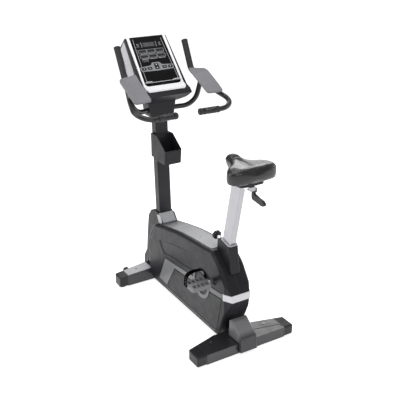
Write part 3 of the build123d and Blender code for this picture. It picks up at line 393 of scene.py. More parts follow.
# ---------------------------------------------------------------- mesh helpers
def piece(name, mesh, finish, body, replaced=(), sharp=38.0, place=WORLD):
    """Turns a bmesh in millimetres into a named piece that rides on a body."""
    bmesh.ops.recalc_face_normals(mesh, faces=mesh.faces)
    data = bpy.data.meshes.new(name)
    mesh.transform(place @ Matrix.Scale(MM, 4))
    mesh.to_mesh(data)
    mesh.free()
    data.polygons.foreach_set("use_smooth", [True] * len(data.polygons))
    data.set_sharp_from_angle(angle=math.radians(sharp))
    obj = bpy.data.objects.new(name, data)
    data.materials.append(finish)
    scene.collection.objects.link(obj)
    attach(obj, body)
    if replaced:
        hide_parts(*replaced)
    return obj


def bevelled(mesh, width, segments=2, angle=30.0):
    """Rounds every edge sharper than an angle."""
    if width:
        edges = [
            e for e in mesh.edges
            if len(e.link_faces) == 2 and e.calc_face_angle(0) > math.radians(angle)
        ]
        bmesh.ops.bevel(mesh, geom=edges, offset=width, segments=segments, profile=0.5,
                        affect="EDGES", clamp_overlap=True)
    return mesh


def plate(outline, low, high, holes=(), into=None):
    """Flat outline with holes, filled from low to high along local z."""
    mesh = into or bmesh.new()
    loops = [[Vector((x, y, 0)) for x, y in loop] for loop in (outline, *holes)]
    flat = [p for loop in loops for p in loop]
    layers = []
    for height in (low, high):
        layers.append([mesh.verts.new((p.x, p.y, height)) for p in flat])
    if len(loops) == 1:
        mesh.faces.new(layers[0][::-1])
        mesh.faces.new(layers[1])
    else:
        for triangle in tessellate_polygon(loops):
            mesh.faces.new([layers[0][i] for i in triangle])
            mesh.faces.new([layers[1][i] for i in reversed(triangle)])
    start = 0
    for loop in loops:
        count = len(loop)
        for i in range(count):
            a, b = start + i, start + (i + 1) % count
            mesh.faces.new((layers[0][a], layers[0][b], layers[1][b], layers[1][a]))
        start += count
    return mesh


def rounded(points, radius, steps=5):
    """Closed outline with its corners rounded."""
    result = []
    count = len(points)
    for i in range(count):
        before, corner, after = (Vector(points[(i + k) % count]) for k in (-1, 0, 1))
        a, b = (before - corner), (after - corner)
        cut = min(radius, a.length * 0.45, b.length * 0.45)
        start, end = corner + a.normalized() * cut, corner + b.normalized() * cut
        for k in range(steps + 1):
            t = k / steps
            p = start * (1 - t) ** 2 + corner * 2 * t * (1 - t) + end * t ** 2
            result.append((p.x, p.y))
    return result


def rectangle(x, y, width, height, radius=0.0):
    corners = [(x - width / 2, y - height / 2), (x + width / 2, y - height / 2),
               (x + width / 2, y + height / 2), (x - width / 2, y + height / 2)]
    return rounded(corners, radius, 4) if radius else corners


def circle(x, y, radius, steps=24):
    return [(x + radius * math.cos(2 * math.pi * i / steps),
             y + radius * math.sin(2 * math.pi * i / steps)) for i in range(steps)]


def ring_faces(mesh, rings, closed_ends=True):
    """Joins rings of vertices into a skin, with a cap at each end."""
    count = len(rings[0])
    for a, b in zip(rings, rings[1:]):
        for i in range(count):
            j = (i + 1) % count
            mesh.faces.new((a[i], a[j], b[j], b[i]))
    if closed_ends:
        mesh.faces.new(rings[0][::-1])
        mesh.faces.new(rings[-1])


def lathe(profile, steps, lobes=0, depth=0.0):
    """Turns (radius, z) points round local z; lobes flute the outside by depth."""
    mesh = bmesh.new()
    rings = []
    for radius, z, *flute in profile:
        share = flute[0] if flute else 0.0
        ring = []
        for i in range(steps):
            angle = 2 * math.pi * i / steps
            r = radius - share * depth * (0.5 + 0.5 * math.cos(lobes * angle))
            ring.append(mesh.verts.new((r * math.cos(angle), r * math.sin(angle), z)))
        rings.append(ring)
    ring_faces(mesh, rings)
    return mesh


def tube(points, section, steps):
    """Sweeps a section round a path: section(share, angle) gives the radius."""
    mesh = bmesh.new()
    side = None
    rings = []
    for i, p in enumerate(points):
        run = (points[min(i + 1, len(points) - 1)] - points[max(i - 1, 0)]).normalized()
        if side is None:
            side = run.cross(Vector((0, 0, 1)))
        side = (side - run * side.dot(run)).normalized()
        lift = side.cross(run)
        share = i / (len(points) - 1)
        ring = []
        for k in range(steps):
            angle = 2 * math.pi * k / steps
            r = section(share, angle)
            ring.append(mesh.verts.new(p + (side * math.cos(angle) + lift * math.sin(angle)) * r))
        rings.append(ring)
    ring_faces(mesh, rings)
    return mesh


def catmull(points, steps, closed=False):
    """Smooth line through points."""
    pts = [Vector(p) for p in points]
    count = len(pts)
    result = []
    for i in range(count if closed else count - 1):
        if closed:
            p0, p1, p2, p3 = (pts[(i + k) % count] for k in (-1, 0, 1, 2))
        else:
            p0, p1, p2, p3 = (pts[max(0, min(count - 1, i + k))] for k in (-1, 0, 1, 2))
        for s in range(steps):
            t = s / steps
            result.append(0.5 * ((2 * p1) + (p2 - p0) * t + (2 * p0 - 5 * p1 + 4 * p2 - p3) * t * t
                                 + (3 * p1 - p0 - 3 * p2 + p3) * t ** 3))
    if not closed:
        result.append(pts[-1])
    return result


def mirrored(mesh):
    """A copy of a mesh on the other side of the bike."""
    other = mesh.copy()
    bmesh.ops.transform(other, matrix=Matrix.Scale(-1, 4, Vector((1, 0, 0))), verts=other.verts)
    return other


# ---------------------------------------------------------------- saddle
SADDLE_EDGE = [(0, 317), (24, 321), (38, 344), (42, 380), (55, 406), (80, 433), (108, 464),
               (131, 501), (127, 527), (106, 547), (52, 558), (0, 559)]
SADDLE_ROUNDS = 15.0
NOSE_UNDERCUT = 13.0
CROWN_WIDTH = 26.0
# Share of the way in to the spine, and height above the underside.
UNDERSIDE = [(0.96, 3.0), (0.5, 3.0), (0.3, 1.5)]
# Distance in from the edge, and share of the way up to the rim.
WALLS = [(5.0, 0.0), (1.5, 0.07), (-0.5, 0.25), (-1.5, 0.5), (-1.0, 0.75)]
# Shares of the way in to the spine.
CROWN = (0.0, 0.03, 0.07, 0.12, 0.18, 0.26, 0.36, 0.48, 0.62, 0.78, 0.92, 1.0)


def bell(value, middle, width):
    return math.exp(-((value - middle) / width) ** 2)


def step(value, low, high):
    t = min(1.0, max(0.0, (value - low) / (high - low)))
    return t * t * (3 - 2 * t)


def saddle_top(x, y):
    """Height of the seat surface: raised nose, two rear lobes, a rear ridge and a centre channel."""
    z = 1010.0
    z += 16.0 * bell(y, 346, 34) * bell(x, 0, 46)
    z += 7.0 * bell(abs(x), 90, 42) * bell(y, 494, 60)
    z += 5.0 * bell(y, 541, 18) * bell(x, 0, 90)
    z -= 6.0 * bell(x, 0, 10) * step(y, 385, 415) * (1 - step(y, 495, 528))
    return z


def saddle_bottom(y):
    """Height of the underside, which rises towards the nose."""
    return 944.0 + 20.0 * (1 - step(y, 312, 410))


def spine_of(p):
    """The nearest point of the cushion's middle line."""
    return Vector((0, min(505, max(346, p.y)), 0))


def saddle_mesh():
    """Closed cushion: a flat underside, walls that pull in under the nose, and a crowned top."""
    half = [Vector((x, y, 0)) for x, y in SADDLE_EDGE]
    loop = half + [Vector((-p.x, p.y, 0)) for p in reversed(half[1:-1])]
    edge = catmull(loop, 8, closed=True)
    rows = []
    for share, lift in UNDERSIDE:
        row = []
        for p in edge:
            q = p.lerp(spine_of(p), share)
            row.append((q.x, q.y, saddle_bottom(p.y) + lift))
        rows.append(row)
    for inset, share in WALLS:
        row = []
        for p in edge:
            spine = spine_of(p)
            nose = NOSE_UNDERCUT * (1 - step(p.y, 385, 440)) * (1 - share)
            q = p.lerp(spine, (inset + nose) / (p - spine).length)
            low, high = saddle_bottom(p.y), saddle_top(p.x, p.y) - SADDLE_ROUNDS
            row.append((q.x, q.y, low + share * (high - low)))
        rows.append(row)
    for share in CROWN:
        row = []
        for p in edge:
            spine = spine_of(p)
            q = p.lerp(spine, share)
            inward = min(1.0, share * (p - spine).length / CROWN_WIDTH)
            row.append((q.x, q.y, saddle_top(q.x, q.y) - SADDLE_ROUNDS * (1 - inward) ** 2.4))
        rows.append(row)
    mesh = bmesh.new()
    rings = [[mesh.verts.new(point) for point in row] for row in rows]
    ring_faces(mesh, rings, closed_ends=False)
    bmesh.ops.remove_doubles(mesh, verts=mesh.verts, dist=0.6)
    bmesh.ops.holes_fill(mesh, edges=mesh.edges, sides=0)
    bmesh.ops.triangulate(mesh, faces=[f for f in mesh.faces if len(f.verts) > 4])
    bmesh.ops.recalc_face_normals(mesh, faces=mesh.faces)
    return mesh


def applied(obj):
    """Makes an object's modifiers permanent."""
    graph = bpy.context.evaluated_depsgraph_get()
    data = bpy.data.meshes.new_from_object(obj.evaluated_get(graph))
    obj.modifiers.clear()
    obj.data = data


def puffed(obj, voxel, pressure, cap, frames=20):
    """Fills a closed shape with air by cloth simulation, then limits how far each point moved."""
    remesh = obj.modifiers.new("remesh", "REMESH")
    remesh.mode = "VOXEL"
    remesh.voxel_size = voxel * MM
    remesh.use_smooth_shade = True
    applied(obj)
    start = [v.co.copy() for v in obj.data.vertices]
    cloth = obj.modifiers.new("cloth", "CLOTH")
    settings = cloth.settings
    settings.use_pressure = True
    settings.uniform_pressure_force = pressure
    settings.quality = 6
    settings.tension_stiffness = 30
    settings.compression_stiffness = 30
    settings.shear_stiffness = 20
    settings.bending_stiffness = 2
    settings.effector_weights.gravity = 0
    cloth.point_cache.frame_end = frames
    for number in range(1, frames + 1):
        scene.frame_set(number)
    applied(obj)
    scene.frame_set(1)
    for vertex, origin in zip(obj.data.vertices, start):
        move = vertex.co - origin
        if move.length > cap * MM:
            vertex.co = origin + move.normalized() * cap * MM
    smooth = obj.modifiers.new("smooth", "SMOOTH")
    smooth.factor = 0.5
    smooth.iterations = 6
    surface = obj.modifiers.new("surface", "SUBSURF")
    surface.levels = surface.render_levels = 1
    applied(obj)
    obj.data.polygons.foreach_set("use_smooth", [True] * len(obj.data.polygons))


def saddle():
    """Crowned cushion over the saddle pan."""
    mesh = saddle_mesh()
    data = bpy.data.meshes.new("saddle_cushion_vinyl")
    mesh.transform(Matrix.Scale(MM, 4))
    mesh.to_mesh(data)
    mesh.free()
    obj = bpy.data.objects.new("saddle_cushion_vinyl", data)
    scene.collection.objects.link(obj)
    puffed(obj, voxel=4.0, pressure=3.0, cap=3.0)
    obj.data.materials.clear()
    obj.data.materials.append(FINISHES["saddle_vinyl"])
    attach(obj, "saddle")
    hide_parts("saddle_cushion")


saddle()


# ---------------------------------------------------------------- elbow pads
PAD = frame_at((212, -248, 1235), (1, 0, 0), leaning(25.6))
PAD_EDGE = [(-52, -108), (46, -93), (57, -70), (57, 52), (54, 115), (-46, 111), (-49, -32)]


def pad_mesh():
    """Cupped forearm pad: raised edges, a rolled front end and a pressed crease."""
    edge = [Vector((x, y, 0)) for x, y in rounded(PAD_EDGE, 16, 8)]
    mesh = bmesh.new()
    rings = []

    def surface(q, side):
        cup = 5.5 * ((q.x - 4) / 52) ** 2 + 4.0 * step(-q.y, 70, 112) - 3.0
        crease = 1.6 * bell(q.y + 0.25 * q.x, -66, 5.0) * side
        return cup - crease

    def ring(share, lift, side):
        row = []
        for p in edge:
            middle = Vector((p.x * 0.12, p.y * 0.55, 0))
            q = p.lerp(middle, share)
            row.append(mesh.verts.new((q.x, q.y, surface(q, side) + lift)))
        rings.append(row)

    for share, lift in ((1.0, -5.5), (0.7, -5.5), (0.4, -5.5), (0.15, -5.5), (0.05, -5.0),
                        (0.01, -3.2), (0.0, -0.5), (0.0, 2.0), (0.02, 4.6), (0.06, 5.8)):
        ring(share, lift, 0.0)
    for share in (0.1, 0.15, 0.2, 0.26, 0.33, 0.41, 0.5, 0.6, 0.72, 0.85, 1.0):
        ring(share, 6.2, 1.0)
    ring_faces(mesh, rings)
    bmesh.ops.triangulate(mesh, faces=[f for f in mesh.faces if len(f.verts) > 4])
    return mesh


def pads():
    """The two elbow pads: the right one is the left one mirrored."""
    left = pad_mesh()
    left.transform(PAD @ Matrix.Scale(MM, 4))
    left.transform(Matrix.Scale(1 / MM, 4))
    right = mirrored(left)
    for name, mesh in (("elbow_pad_left", left), ("elbow_pad_right", right)):
        obj = piece(name, mesh, FINISHES["pad_foam"], "frame", ["elbow_pads"], sharp=60)
        surface = obj.modifiers.new("surface", "SUBSURF")
        surface.levels = surface.render_levels = 1


pads()


# ---------------------------------------------------------------- grips
HORN_PATH = [(207, -459, 1416), (205, -383, 1268), (220.5, -333.7, 1241.7)]
HORN_BEND = 60.0
RIB_PITCH, RIB_HEIGHT, RIB_LOBES = 7.6, 1.2, 18
GRIP_RADIUS, COLLAR_RADIUS = 17.3, 18.2
COLLAR_FROM_START, COLLAR_FROM_END = 6, 5
GRIP_STEPS = 72
PULSE_PROFILE = [(14.1, 0), (17.4, 0), (18.4, 2), (18.4, 9), (17.0, 12), (16.6, 14), (16.6, 98),
                 (17.0, 100), (18.4, 102), (18.4, 109), (17.4, 112), (14.1, 112)]
CONTACT_PLATES = [("upper", -62, 62), ("lower", 118, 242)]
PULSE = frame_at((70, -68, 1119), (0, 0, 1), (238, 26, 5))


def bent(points, radius, spacing=1.6):
    """Points along straight runs whose corners are rounded to a radius."""
    pts = [Vector(p) for p in points]
    line = [pts[0]]
    for before, corner, after in zip(pts, pts[1:], pts[2:]):
        a, b = (before - corner).normalized(), (after - corner).normalized()
        cut = radius / math.tan(a.angle(b) / 2)
        start, end = corner + a * cut, corner + b * cut
        line.append(start)
        line += [start * (1 - t) ** 2 + corner * 2 * t * (1 - t) + end * t ** 2
                 for t in (0.2, 0.4, 0.6, 0.8)]
        line.append(end)
    line.append(pts[-1])
    fine = []
    for a, b in zip(line, line[1:]):
        count = max(1, round((b - a).length / spacing))
        fine += [a.lerp(b, k / count) for k in range(count)]
    return fine + [line[-1]]


def arc_plate(radius, thickness, from_angle, to_angle, low, high, steps=18):
    """Curved plate lying on a grip, with a softly raised rim."""
    mesh = bmesh.new()
    rows = []
    heights = [low, low + 2, low + 4, high - 4, high - 2, high]
    lifts = [0.0, 0.7, 1.0, 1.0, 0.7, 0.0]
    for z, lift in zip(heights, lifts):
        row = []
        for i in range(steps + 1):
            share = i / steps
            angle = math.radians(from_angle + (to_angle - from_angle) * share)
            side = min(1.0, min(share, 1 - share) * 8)
            r = radius + thickness * lift * side
            row.append(mesh.verts.new((r * math.cos(angle), r * math.sin(angle), z)))
        rows.append(row)
    for a, b in zip(rows, rows[1:]):
        for i in range(steps):
            mesh.faces.new((a[i], a[i + 1], b[i + 1], b[i]))
    bmesh.ops.solidify(mesh, geom=mesh.faces[:], thickness=1.2)
    return mesh


def to_world(mesh, place):
    """Moves a mesh from a local frame to the world, still in millimetres."""
    mesh.transform(Matrix.Scale(1 / MM, 4) @ place @ Matrix.Scale(MM, 4))
    return mesh


def both(name, mesh, finish, body, replaced=(), sharp=38.0):
    """A world-placed mesh and its mirror image as two pieces."""
    other = mirrored(mesh)
    left = piece(name + "_left", mesh, finish, body, replaced, sharp)
    right = piece(name + "_right", other, finish, body, replaced, sharp)
    return left, right


def grips():
    """Ribbed sleeves on the horns, and pulse grips with metal contact plates on the loops."""
    path = bent(HORN_PATH, HORN_BEND)
    length = sum((b - a).length for a, b in zip(path, path[1:]))

    def section(share, angle):
        run = share * length
        if run < COLLAR_FROM_START or run > length - COLLAR_FROM_END:
            return COLLAR_RADIUS
        rib = 0.5 + 0.5 * math.cos(2 * math.pi * run / RIB_PITCH)
        return GRIP_RADIUS - RIB_HEIGHT * (0.5 + 0.5 * math.cos(RIB_LOBES * angle)) * rib

    both("horn_grip", tube(path, section, GRIP_STEPS), FINISHES["grip_rubber"], "frame",
         ["hand_grips"], 50)
    mesh = to_world(lathe(PULSE_PROFILE, GRIP_STEPS), PULSE)
    both("pulse_grip", mesh, FINISHES["grip_rubber"], "frame", ["hand_grips"], 50)
    for name, low, high in CONTACT_PLATES:
        mesh = to_world(arc_plate(16.6, 1.0, low, high, 16, 96), PULSE)
        both("contact_plate_" + name, mesh, FINISHES["bearing_steel"], "frame")


grips()


# ---------------------------------------------------------------- console
PRINT_LOW, PRINT_UP = -0.2, 0.35
INNER_LINE = [(-84, 145), (-87, 60), (-90, -20), (-93, -108), (-91, -118), (-84, -125)]
OUTER_LINE = [(86, 139), (90, 60), (95, -20), (101, -108), (98, -119), (90, -125)]
LINE_WIDTH = 2.6
HEADING_FROM, HEADING_TO = -74, 76
HEADING_ROWS = (49, 17)
WINDOW_COLUMNS = (-52, 0, 52)
WINDOW_ROWS = (65.5, 33)
BAND_EDGE = [(-103, -30), (-60, -26), (-34, -24), (-22, -8), (22, -8), (34, -24), (60, -26),
             (103, -30), (98, -57), (0, -60), (-98, -57)]
KEY_HOLE_X, KEY_HOLE_Y, KEY_HOLE_CORNER = 27, 17, 3.2
MARK_LOW, MARK_HIGH = 1.3, 1.85
DOT_PITCH, DOT_SIZE = 3.0, 1.7
DOT_COLUMNS, DOT_ROWS = 22, 8
DOTS_FROM = (-31.5, 94.5)
REST_BELOW = -0.1305


def ribbon(points, width):
    """Outline of a band that follows an open line."""
    pts = [Vector(p) for p in points]
    left, right = [], []
    for i, p in enumerate(pts):
        run = (pts[min(i + 1, len(pts) - 1)] - pts[max(i - 1, 0)]).normalized()
        side = Vector((-run.y, run.x)) * width / 2
        left.append(tuple(p + side))
        right.append(tuple(p - side))
    return left + right[::-1]


def printed(outline, mesh):
    """A patch of ink, slightly proud of the panel."""
    plate(outline, PRINT_LOW, PRINT_UP, into=mesh)


def printed_lines():
    """Border lines, column headings, scale bars beside the display and rows of small marks."""
    mesh = bmesh.new()
    for line in (INNER_LINE, OUTER_LINE):
        printed(ribbon(line, LINE_WIDTH), mesh)
    for up in HEADING_ROWS:
        for i in range(3):
            start = HEADING_FROM + (HEADING_TO - HEADING_FROM) * i / 3 + 3
            end = HEADING_FROM + (HEADING_TO - HEADING_FROM) * (i + 1) / 3 - 3
            printed(rectangle((start + end) / 2, up, end - start, 3.0, 1.0), mesh)
    for side in (-1, 1):
        for i in range(6):
            printed(rectangle(side * 45, 91 + 5.6 * i, 5, 2.6, 0.8), mesh)
        for i in range(3):
            printed(rectangle(side * 67, 96 + 8 * i, 15 - 3 * (i % 2), 2.2, 0.8), mesh)
    for i in range(5):
        printed(rectangle(-72 + 8.5 * i, 9, 5.5, 2.2, 0.8), mesh)
        printed(rectangle(-72 + 8.5 * i, 2, 4 + i % 2, 2.0, 0.8), mesh)
    piece("console_lines", mesh, PRINT, "frame", place=FACE)


def readout_windows():
    """Two rows of framed windows under the display."""
    frames, panes = bmesh.new(), bmesh.new()
    for up in WINDOW_ROWS:
        holes = [rectangle(x, up, 45, 15, 2.5) for x in WINDOW_COLUMNS]
        plate(rectangle(0, up, 158, 22, 4), PRINT_LOW, 0.25, holes, into=frames)
        for x in WINDOW_COLUMNS:
            plate(rectangle(x, up, 44.4, 14.4, 2.5), -0.3, 0.12, into=panes)
    piece("console_window_frames", frames, FINISHES["grey_plastic"], "frame",
          place=FACE)
    piece("console_window_panes", panes, DARK_PRINT, "frame", place=FACE)


def key_places():
    """Where the keys are on the panel, in millimetres."""
    places = {}
    for key in NODES:
        if key.startswith("key_"):
            low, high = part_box(key)
            middle = FACE.inverted() @ ((low + high) / 2)
            places[key] = (middle.x / MM, middle.y / MM)
    return places


def key_band(places):
    """Printed band round the keys, with one tall opening for the middle pair."""
    openings = [rectangle(x, y, KEY_HOLE_X, KEY_HOLE_Y, KEY_HOLE_CORNER)
                for key, (x, y) in places.items() if key not in ("key_start", "key_stop")]
    x, high_y = places["key_start"]
    low_y = places["key_stop"][1]
    openings.append(rectangle(x, (high_y + low_y) / 2, KEY_HOLE_X, high_y - low_y + KEY_HOLE_Y,
                              KEY_HOLE_CORNER))
    mesh = plate(rounded(BAND_EDGE, 6), PRINT_LOW, 0.5, openings)
    piece("console_key_band", mesh, BAND_PRINT, "frame", place=FACE)


def key_marks(places):
    """Plain arrows, a disc, a square and bars on the keys."""
    marks = {
        "key_level_down": [[(-4, 2.2), (4, 2.2), (0, -3)]],
        "key_level_up": [[(-4, -2.4), (4, -2.4), (0, 2.8)]],
        "key_start": [circle(0, 0, 3.2, 20)],
        "key_stop": [rectangle(0, 0, 5, 5, 0.8)],
        "key_mode": [rectangle(-2.6, 0, 1.8, 5, 0.5), rectangle(2.6, 0, 1.8, 5, 0.5)],
        "key_enter": [[(-3, -3), (3.6, 0), (-3, 3)]],
    }
    for key, shapes in marks.items():
        mesh = bmesh.new()
        x, y = places[key]
        for shape in shapes:
            plate([(x + a, y + b) for a, b in shape], MARK_LOW, MARK_HIGH, into=mesh)
        piece(key + "_mark", mesh, KEY_PRINT, key, place=FACE)


def display_dots():
    mesh = bmesh.new()
    for column in range(DOT_COLUMNS):
        for row in range(DOT_ROWS):
            x, up = DOTS_FROM[0] + DOT_PITCH * column, DOTS_FROM[1] + DOT_PITCH * row
            plate(rectangle(x, up, DOT_SIZE, DOT_SIZE), PRINT_LOW, 0.14, into=mesh)
    piece("console_display_dots", mesh, FINISHES["magnet_steel"], "frame",
          place=FACE)


def book_rest():
    """Two tabs and the lip between them, standing on the panel."""
    place = frame_at((0, 0, 0), FACE.col[0].to_3d(), FACE.col[1].to_3d())
    place.translation = FACE @ Vector((0, REST_BELOW, 0))
    mesh = bmesh.new()
    for side in (-1, 1):
        tab = [(side * 59, 0), (side * 68, -14), (side * 105, -14), (side * 106, 0)]
        plate(rounded(tab[::-side], 3), 0, 5, into=mesh)
    plate(rectangle(0, -1.2, 124, 3.2, 1), 1, 4, into=mesh)
    piece("book_rest_tabs", bevelled(mesh, 0.7), FINISHES["sleeve_plastic"], "frame",
          ["book_rest"], place=place)


def console():
    printed_lines()
    readout_windows()
    places = key_places()
    key_band(places)
    key_marks(places)
    display_dots()
    book_rest()


console()

CHEEK = frame_at((142.2, 0, 1176), (0, 1, 0), (274, 0, 16))
CHEEK_EDGE = [(-538, 252), (-344, 28), (-448, 22), (-486, 88), (-576, 204)]


def console_cheeks():
    """Bright plates on the sides of the console."""
    mesh = bevelled(plate(rounded(CHEEK_EDGE, 10), -1.0, 1.0), 0.7)
    both("console_cheek", to_world(mesh, CHEEK), FINISHES["sleeve_plastic"], "frame")


console_cheeks()


# ---------------------------------------------------------------- cranks and pedals
CRANK = Vector((0, 190, 262))
CRANK_TURN = math.radians(34)
CRANK_LENGTH = 170
HOUSING_SIDE = 75
PEDAL_MIDDLE = 183
PEDAL_HALF_X, PEDAL_HALF_Y = 55, 46
DECK_LOW, DECK_HIGH = -11, 10
SLOT_COLUMNS, SLOT_ROWS = (-35, -12, 12, 35), (-25, 25)
TREAD_ROWS, TREADS = (-42, -10, 10, 42), 9
BELLY_SHAPE = [(-26, -11.5), (-18, -26.5), (18, -26.5), (26, -11.5)]
BELLY_HALF = 42
# Stands a plate up: its outline lies in y and z, and its thickness runs along x.
STANDING = Matrix(((0, 0, 1, 0), (1, 0, 0, 0), (0, 1, 0, 0), (0, 0, 0, 1)))
STRAP_LINE = [(-58, -7), (-58.5, 22), (-53, 48), (-36, 63), (0, 68), (36, 63), (53, 48),
              (58.5, 22), (58, -7)]
STRAP_ACROSS = (-40, -37, -30, -20, -13, -10)
STRAP_THICKNESS = 3.2
DISH = [(24.5, -1.0), (60, -0.4), (62, 1.2), (58, 2.0), (40, 1.0), (25, 1.8), (24.5, 1.0)]
AXLE_CAP = [(0.1, 26.6), (11, 26.6), (13, 27.4), (12, 30.5), (6, 31.5), (5, 29.0), (0.1, 29.0)]


def pedal_middle(side):
    reach = CRANK_LENGTH * side
    return Vector((side * PEDAL_MIDDLE, CRANK.y + reach * math.cos(CRANK_TURN),
                   CRANK.z + reach * math.sin(CRANK_TURN)))


def pedal_mesh():
    """Open deck with cross ribs and tread teeth, over a weighted belly."""
    slots = [rectangle(x, y, 17, 24, 3) for x in SLOT_COLUMNS for y in SLOT_ROWS]
    outline = rounded(rectangle(0, 0, 2 * PEDAL_HALF_X, 2 * PEDAL_HALF_Y), 9)
    mesh = bevelled(plate(outline, DECK_LOW, DECK_HIGH, slots), 1.0)
    for y in TREAD_ROWS:
        for i in range(TREADS):
            plate(rectangle(-46 + 11.5 * i, y, 6, 3.4), DECK_HIGH - 0.5, DECK_HIGH + 2, into=mesh)
    belly = bevelled(plate(BELLY_SHAPE, -BELLY_HALF, BELLY_HALF), 2.0)
    belly.transform(STANDING)
    data = bpy.data.meshes.new("belly")
    belly.to_mesh(data)
    belly.free()
    mesh.from_mesh(data)
    bpy.data.meshes.remove(data)
    return mesh


def strap_mesh():
    """Moulded band over the toes, with a row of adjustment holes on its outer side."""
    mesh = bmesh.new()
    rows = [[mesh.verts.new((p.x, y, p.y)) for y in STRAP_ACROSS] for p in catmull(STRAP_LINE, 6)]
    holes = range(len(rows) - 13, len(rows) - 3, 3)
    for i, (a, b) in enumerate(zip(rows, rows[1:])):
        for k in range(len(STRAP_ACROSS) - 1):
            if k != 2 or i not in holes:
                mesh.faces.new((a[k], a[k + 1], b[k + 1], b[k]))
    bmesh.ops.solidify(mesh, geom=mesh.faces[:], thickness=STRAP_THICKNESS)
    return mesh


def pedals():
    for side, name in ((1, "left"), (-1, "right")):
        place = Matrix.Translation(pedal_middle(side) * MM)
        body = "pedal_" + name
        strap = strap_mesh() if side > 0 else mirrored(strap_mesh())
        piece("pedal_deck_" + name, pedal_mesh(), FINISHES["pedal_plastic"], body,
              ["pedal_" + name], place=place)
        piece("pedal_band_" + name, strap, FINISHES["strap_rubber"], body,
              ["pedal_strap_" + name], sharp=50, place=place)


pedals()


def lathe_ring(profile, steps=64):
    """Turns a closed (radius, z) outline that doesn't reach the axis."""
    mesh = bmesh.new()
    rings = []
    for radius, z in profile:
        rings.append([mesh.verts.new((x, y, z)) for x, y in circle(0, 0, radius, steps)])
    ring_faces(mesh, rings + [rings[0]], closed_ends=False)
    return mesh


def crank_trim():
    """Bolt caps on the axle ends and dished discs behind the crank arms."""
    for side, name in ((1, "left"), (-1, "right")):
        place = frame_at((side * HOUSING_SIDE, CRANK.y, CRANK.z), (0, 1, 0), (side, 0, 0))
        piece("crank_dish_" + name, lathe_ring(DISH), FINISHES["pulley_plastic"], "frame",
              place=place)
        piece("crank_cap_" + name, lathe(AXLE_CAP, 36), FINISHES["chrome"], "crank",
              place=place)


crank_trim()


# ---------------------------------------------------------------- seat hardware
KNOB = POST @ Matrix.Translation((0, -112 * MM, -36 * MM)) @ Matrix.Rotation(math.pi / 2, 4, "X")
KNOB_CAP = [(0.1, -9), (9, -9), (21, -9), (24.5, -6.5, 1), (25.0, 0, 1), (24.5, 6, 1),
            (21, 9, 0.4), (14, 9.6), (12.5, 8.6), (0.1, 8.6)]
KNOB_LOBES, LOBE_DEPTH = 8, 3.2
PIN_STEM = [(0.1, -81), (3.6, -81), (4.9, -79), (4.9, -40), (8.6, -38), (9, -36), (9, -9),
            (0.1, -9)]
LEVER_AT = (497, 884)
LEVER_LOW, LEVER_HIGH = -30, -16
LEVER_SCREW = 4.1
LEVER_REACH = [(-8, 6), (-3, 9), (5, 8), (8, 0), (8, -15), (44, -23), (78, -27), (93, -37),
               (89, -51), (74, -54), (38, -50), (-1, -46), (-8, -36)]


def seat_hardware():
    """Lobed knob with its stem, and the saddle's lever."""
    piece("pull_knob", lathe(KNOB_CAP, 96, KNOB_LOBES, LOBE_DEPTH), FINISHES["knob_plastic"],
          "pull_pin", ["pull_pin"], place=KNOB)
    piece("pull_pin_stem", lathe(PIN_STEM, 36), FINISHES["chrome"], "pull_pin",
          ["pull_pin"], place=KNOB)
    outline = rounded([(LEVER_AT[0] + y, LEVER_AT[1] + z) for y, z in LEVER_REACH], 6, 4)
    lever = plate(outline, LEVER_LOW, LEVER_HIGH, [circle(*LEVER_AT, LEVER_SCREW)])
    piece("saddle_lever_grip", bevelled(lever, 2.2, 3), FINISHES["lever_plastic"],
          "saddle_lever", ["saddle_lever"], place=SIDE)


seat_hardware()


# ---------------------------------------------------------------- trim lines on the covers
FRONT_EDGE = [(-441, 110), (-430, 199), (-411, 269), (-375, 343), (-336, 396)]
SILL_EDGE = [(-190, 51), (0, 51), (180, 51), (335, 51)]
COLLAR_SIDE = [(-352, 448), (-320, 461), (-291, 424), (-300, 407), (-328, 405)]
TRIM_LINES = [
    # name, line, width, inner x, outer x
    # The front bead is a raised edge whose pale colour is a painted highlight along the shell's
    # front edge.
    ("front_bead_highlight", FRONT_EDGE, 4.0, 73.0, 76.8),
    ("sill_bead", SILL_EDGE, 4.5, 76.5, 79.0),
]
COLLAR_INNER, COLLAR_OUTER = 47.5, 49.8


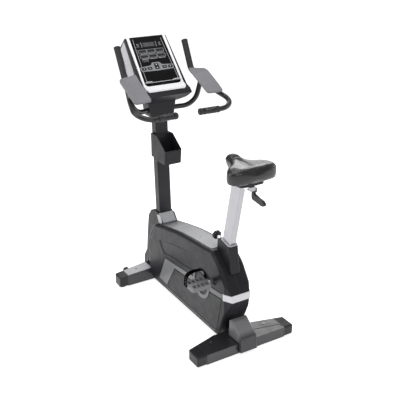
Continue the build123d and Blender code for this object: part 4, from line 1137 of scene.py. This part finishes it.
def cover_trim():
    """Beads along the edges of the covers, the pale front one partly a painted highlight along the
    shell edge, and bright sides on the mast collar.
    """
    left = []
    for name, line, width, inner, outer in TRIM_LINES:
        mesh = bevelled(plate(ribbon(catmull(line, 6), width), inner, outer), 0.9)
        left.append((name, to_world(mesh, SIDE), "band_plastic"))
    mesh = bevelled(plate(rounded(COLLAR_SIDE, 4), COLLAR_INNER, COLLAR_OUTER), 0.6)
    left.append(("collar_side", to_world(mesh, SIDE), "silver_plastic"))
    right = [(name, mirrored(mesh), slot) for name, mesh, slot in left]
    for ending, trims in (("_left", left), ("_right", right)):
        for name, mesh, slot in trims:
            piece(name + ending, mesh, FINISHES[slot], "frame")


cover_trim()

BAR_HIGHLIGHT_OUTLINE = [(70, -484), (226, -468), (226, -401), (70, -401)]
BAR_TOP, BAR_TOP_X, BAR_SLOPE = 82.1, 66, 12 / 217
PLATE_THICKNESS = 1.0
FRONT_BOLT = (152, -446, 77.4)
REAR_BOLT = (166, 428, 63.0)
HEAD_RADIUS, SOCKET_RADIUS, HEAD_HEIGHT, SOCKET_FLOOR = 6.6, 3.4, 2.6, 0.6


def bar_highlight_plates():
    """Pale plates on top of the front bar, following its slope: a painted reflection of the bar's
    bright top.
    """
    bolt_x, bolt_y = FRONT_BOLT[:2]
    mesh = plate(rounded(BAR_HIGHLIGHT_OUTLINE, 4), 0, PLATE_THICKNESS, [circle(bolt_x, bolt_y, 9)])
    for v in mesh.verts:
        v.co.z += BAR_TOP - (v.co.x - BAR_TOP_X) * BAR_SLOPE
    # These pale plates paint the bright reflection seen on the bar top.
    both("front_bar_highlight_plate", mesh, FINISHES["sleeve_plastic"], "frame")


bar_highlight_plates()


def bolt_heads():
    """Socket heads that replace the plain bolts."""
    mesh = bmesh.new()
    for side in (-1, 1):
        for x, y, z in (FRONT_BOLT, REAR_BOLT):
            socket = circle(side * x, y, SOCKET_RADIUS, 6)
            plate(circle(side * x, y, HEAD_RADIUS), z - 1, z + HEAD_HEIGHT, [socket], into=mesh)
            plate(socket, z - 1, z + SOCKET_FLOOR, into=mesh)
    piece("frame_bolt_heads", bevelled(mesh, 0.5), FINISHES["bolt_steel"], "frame",
          ["frame_bolts"])


bolt_heads()
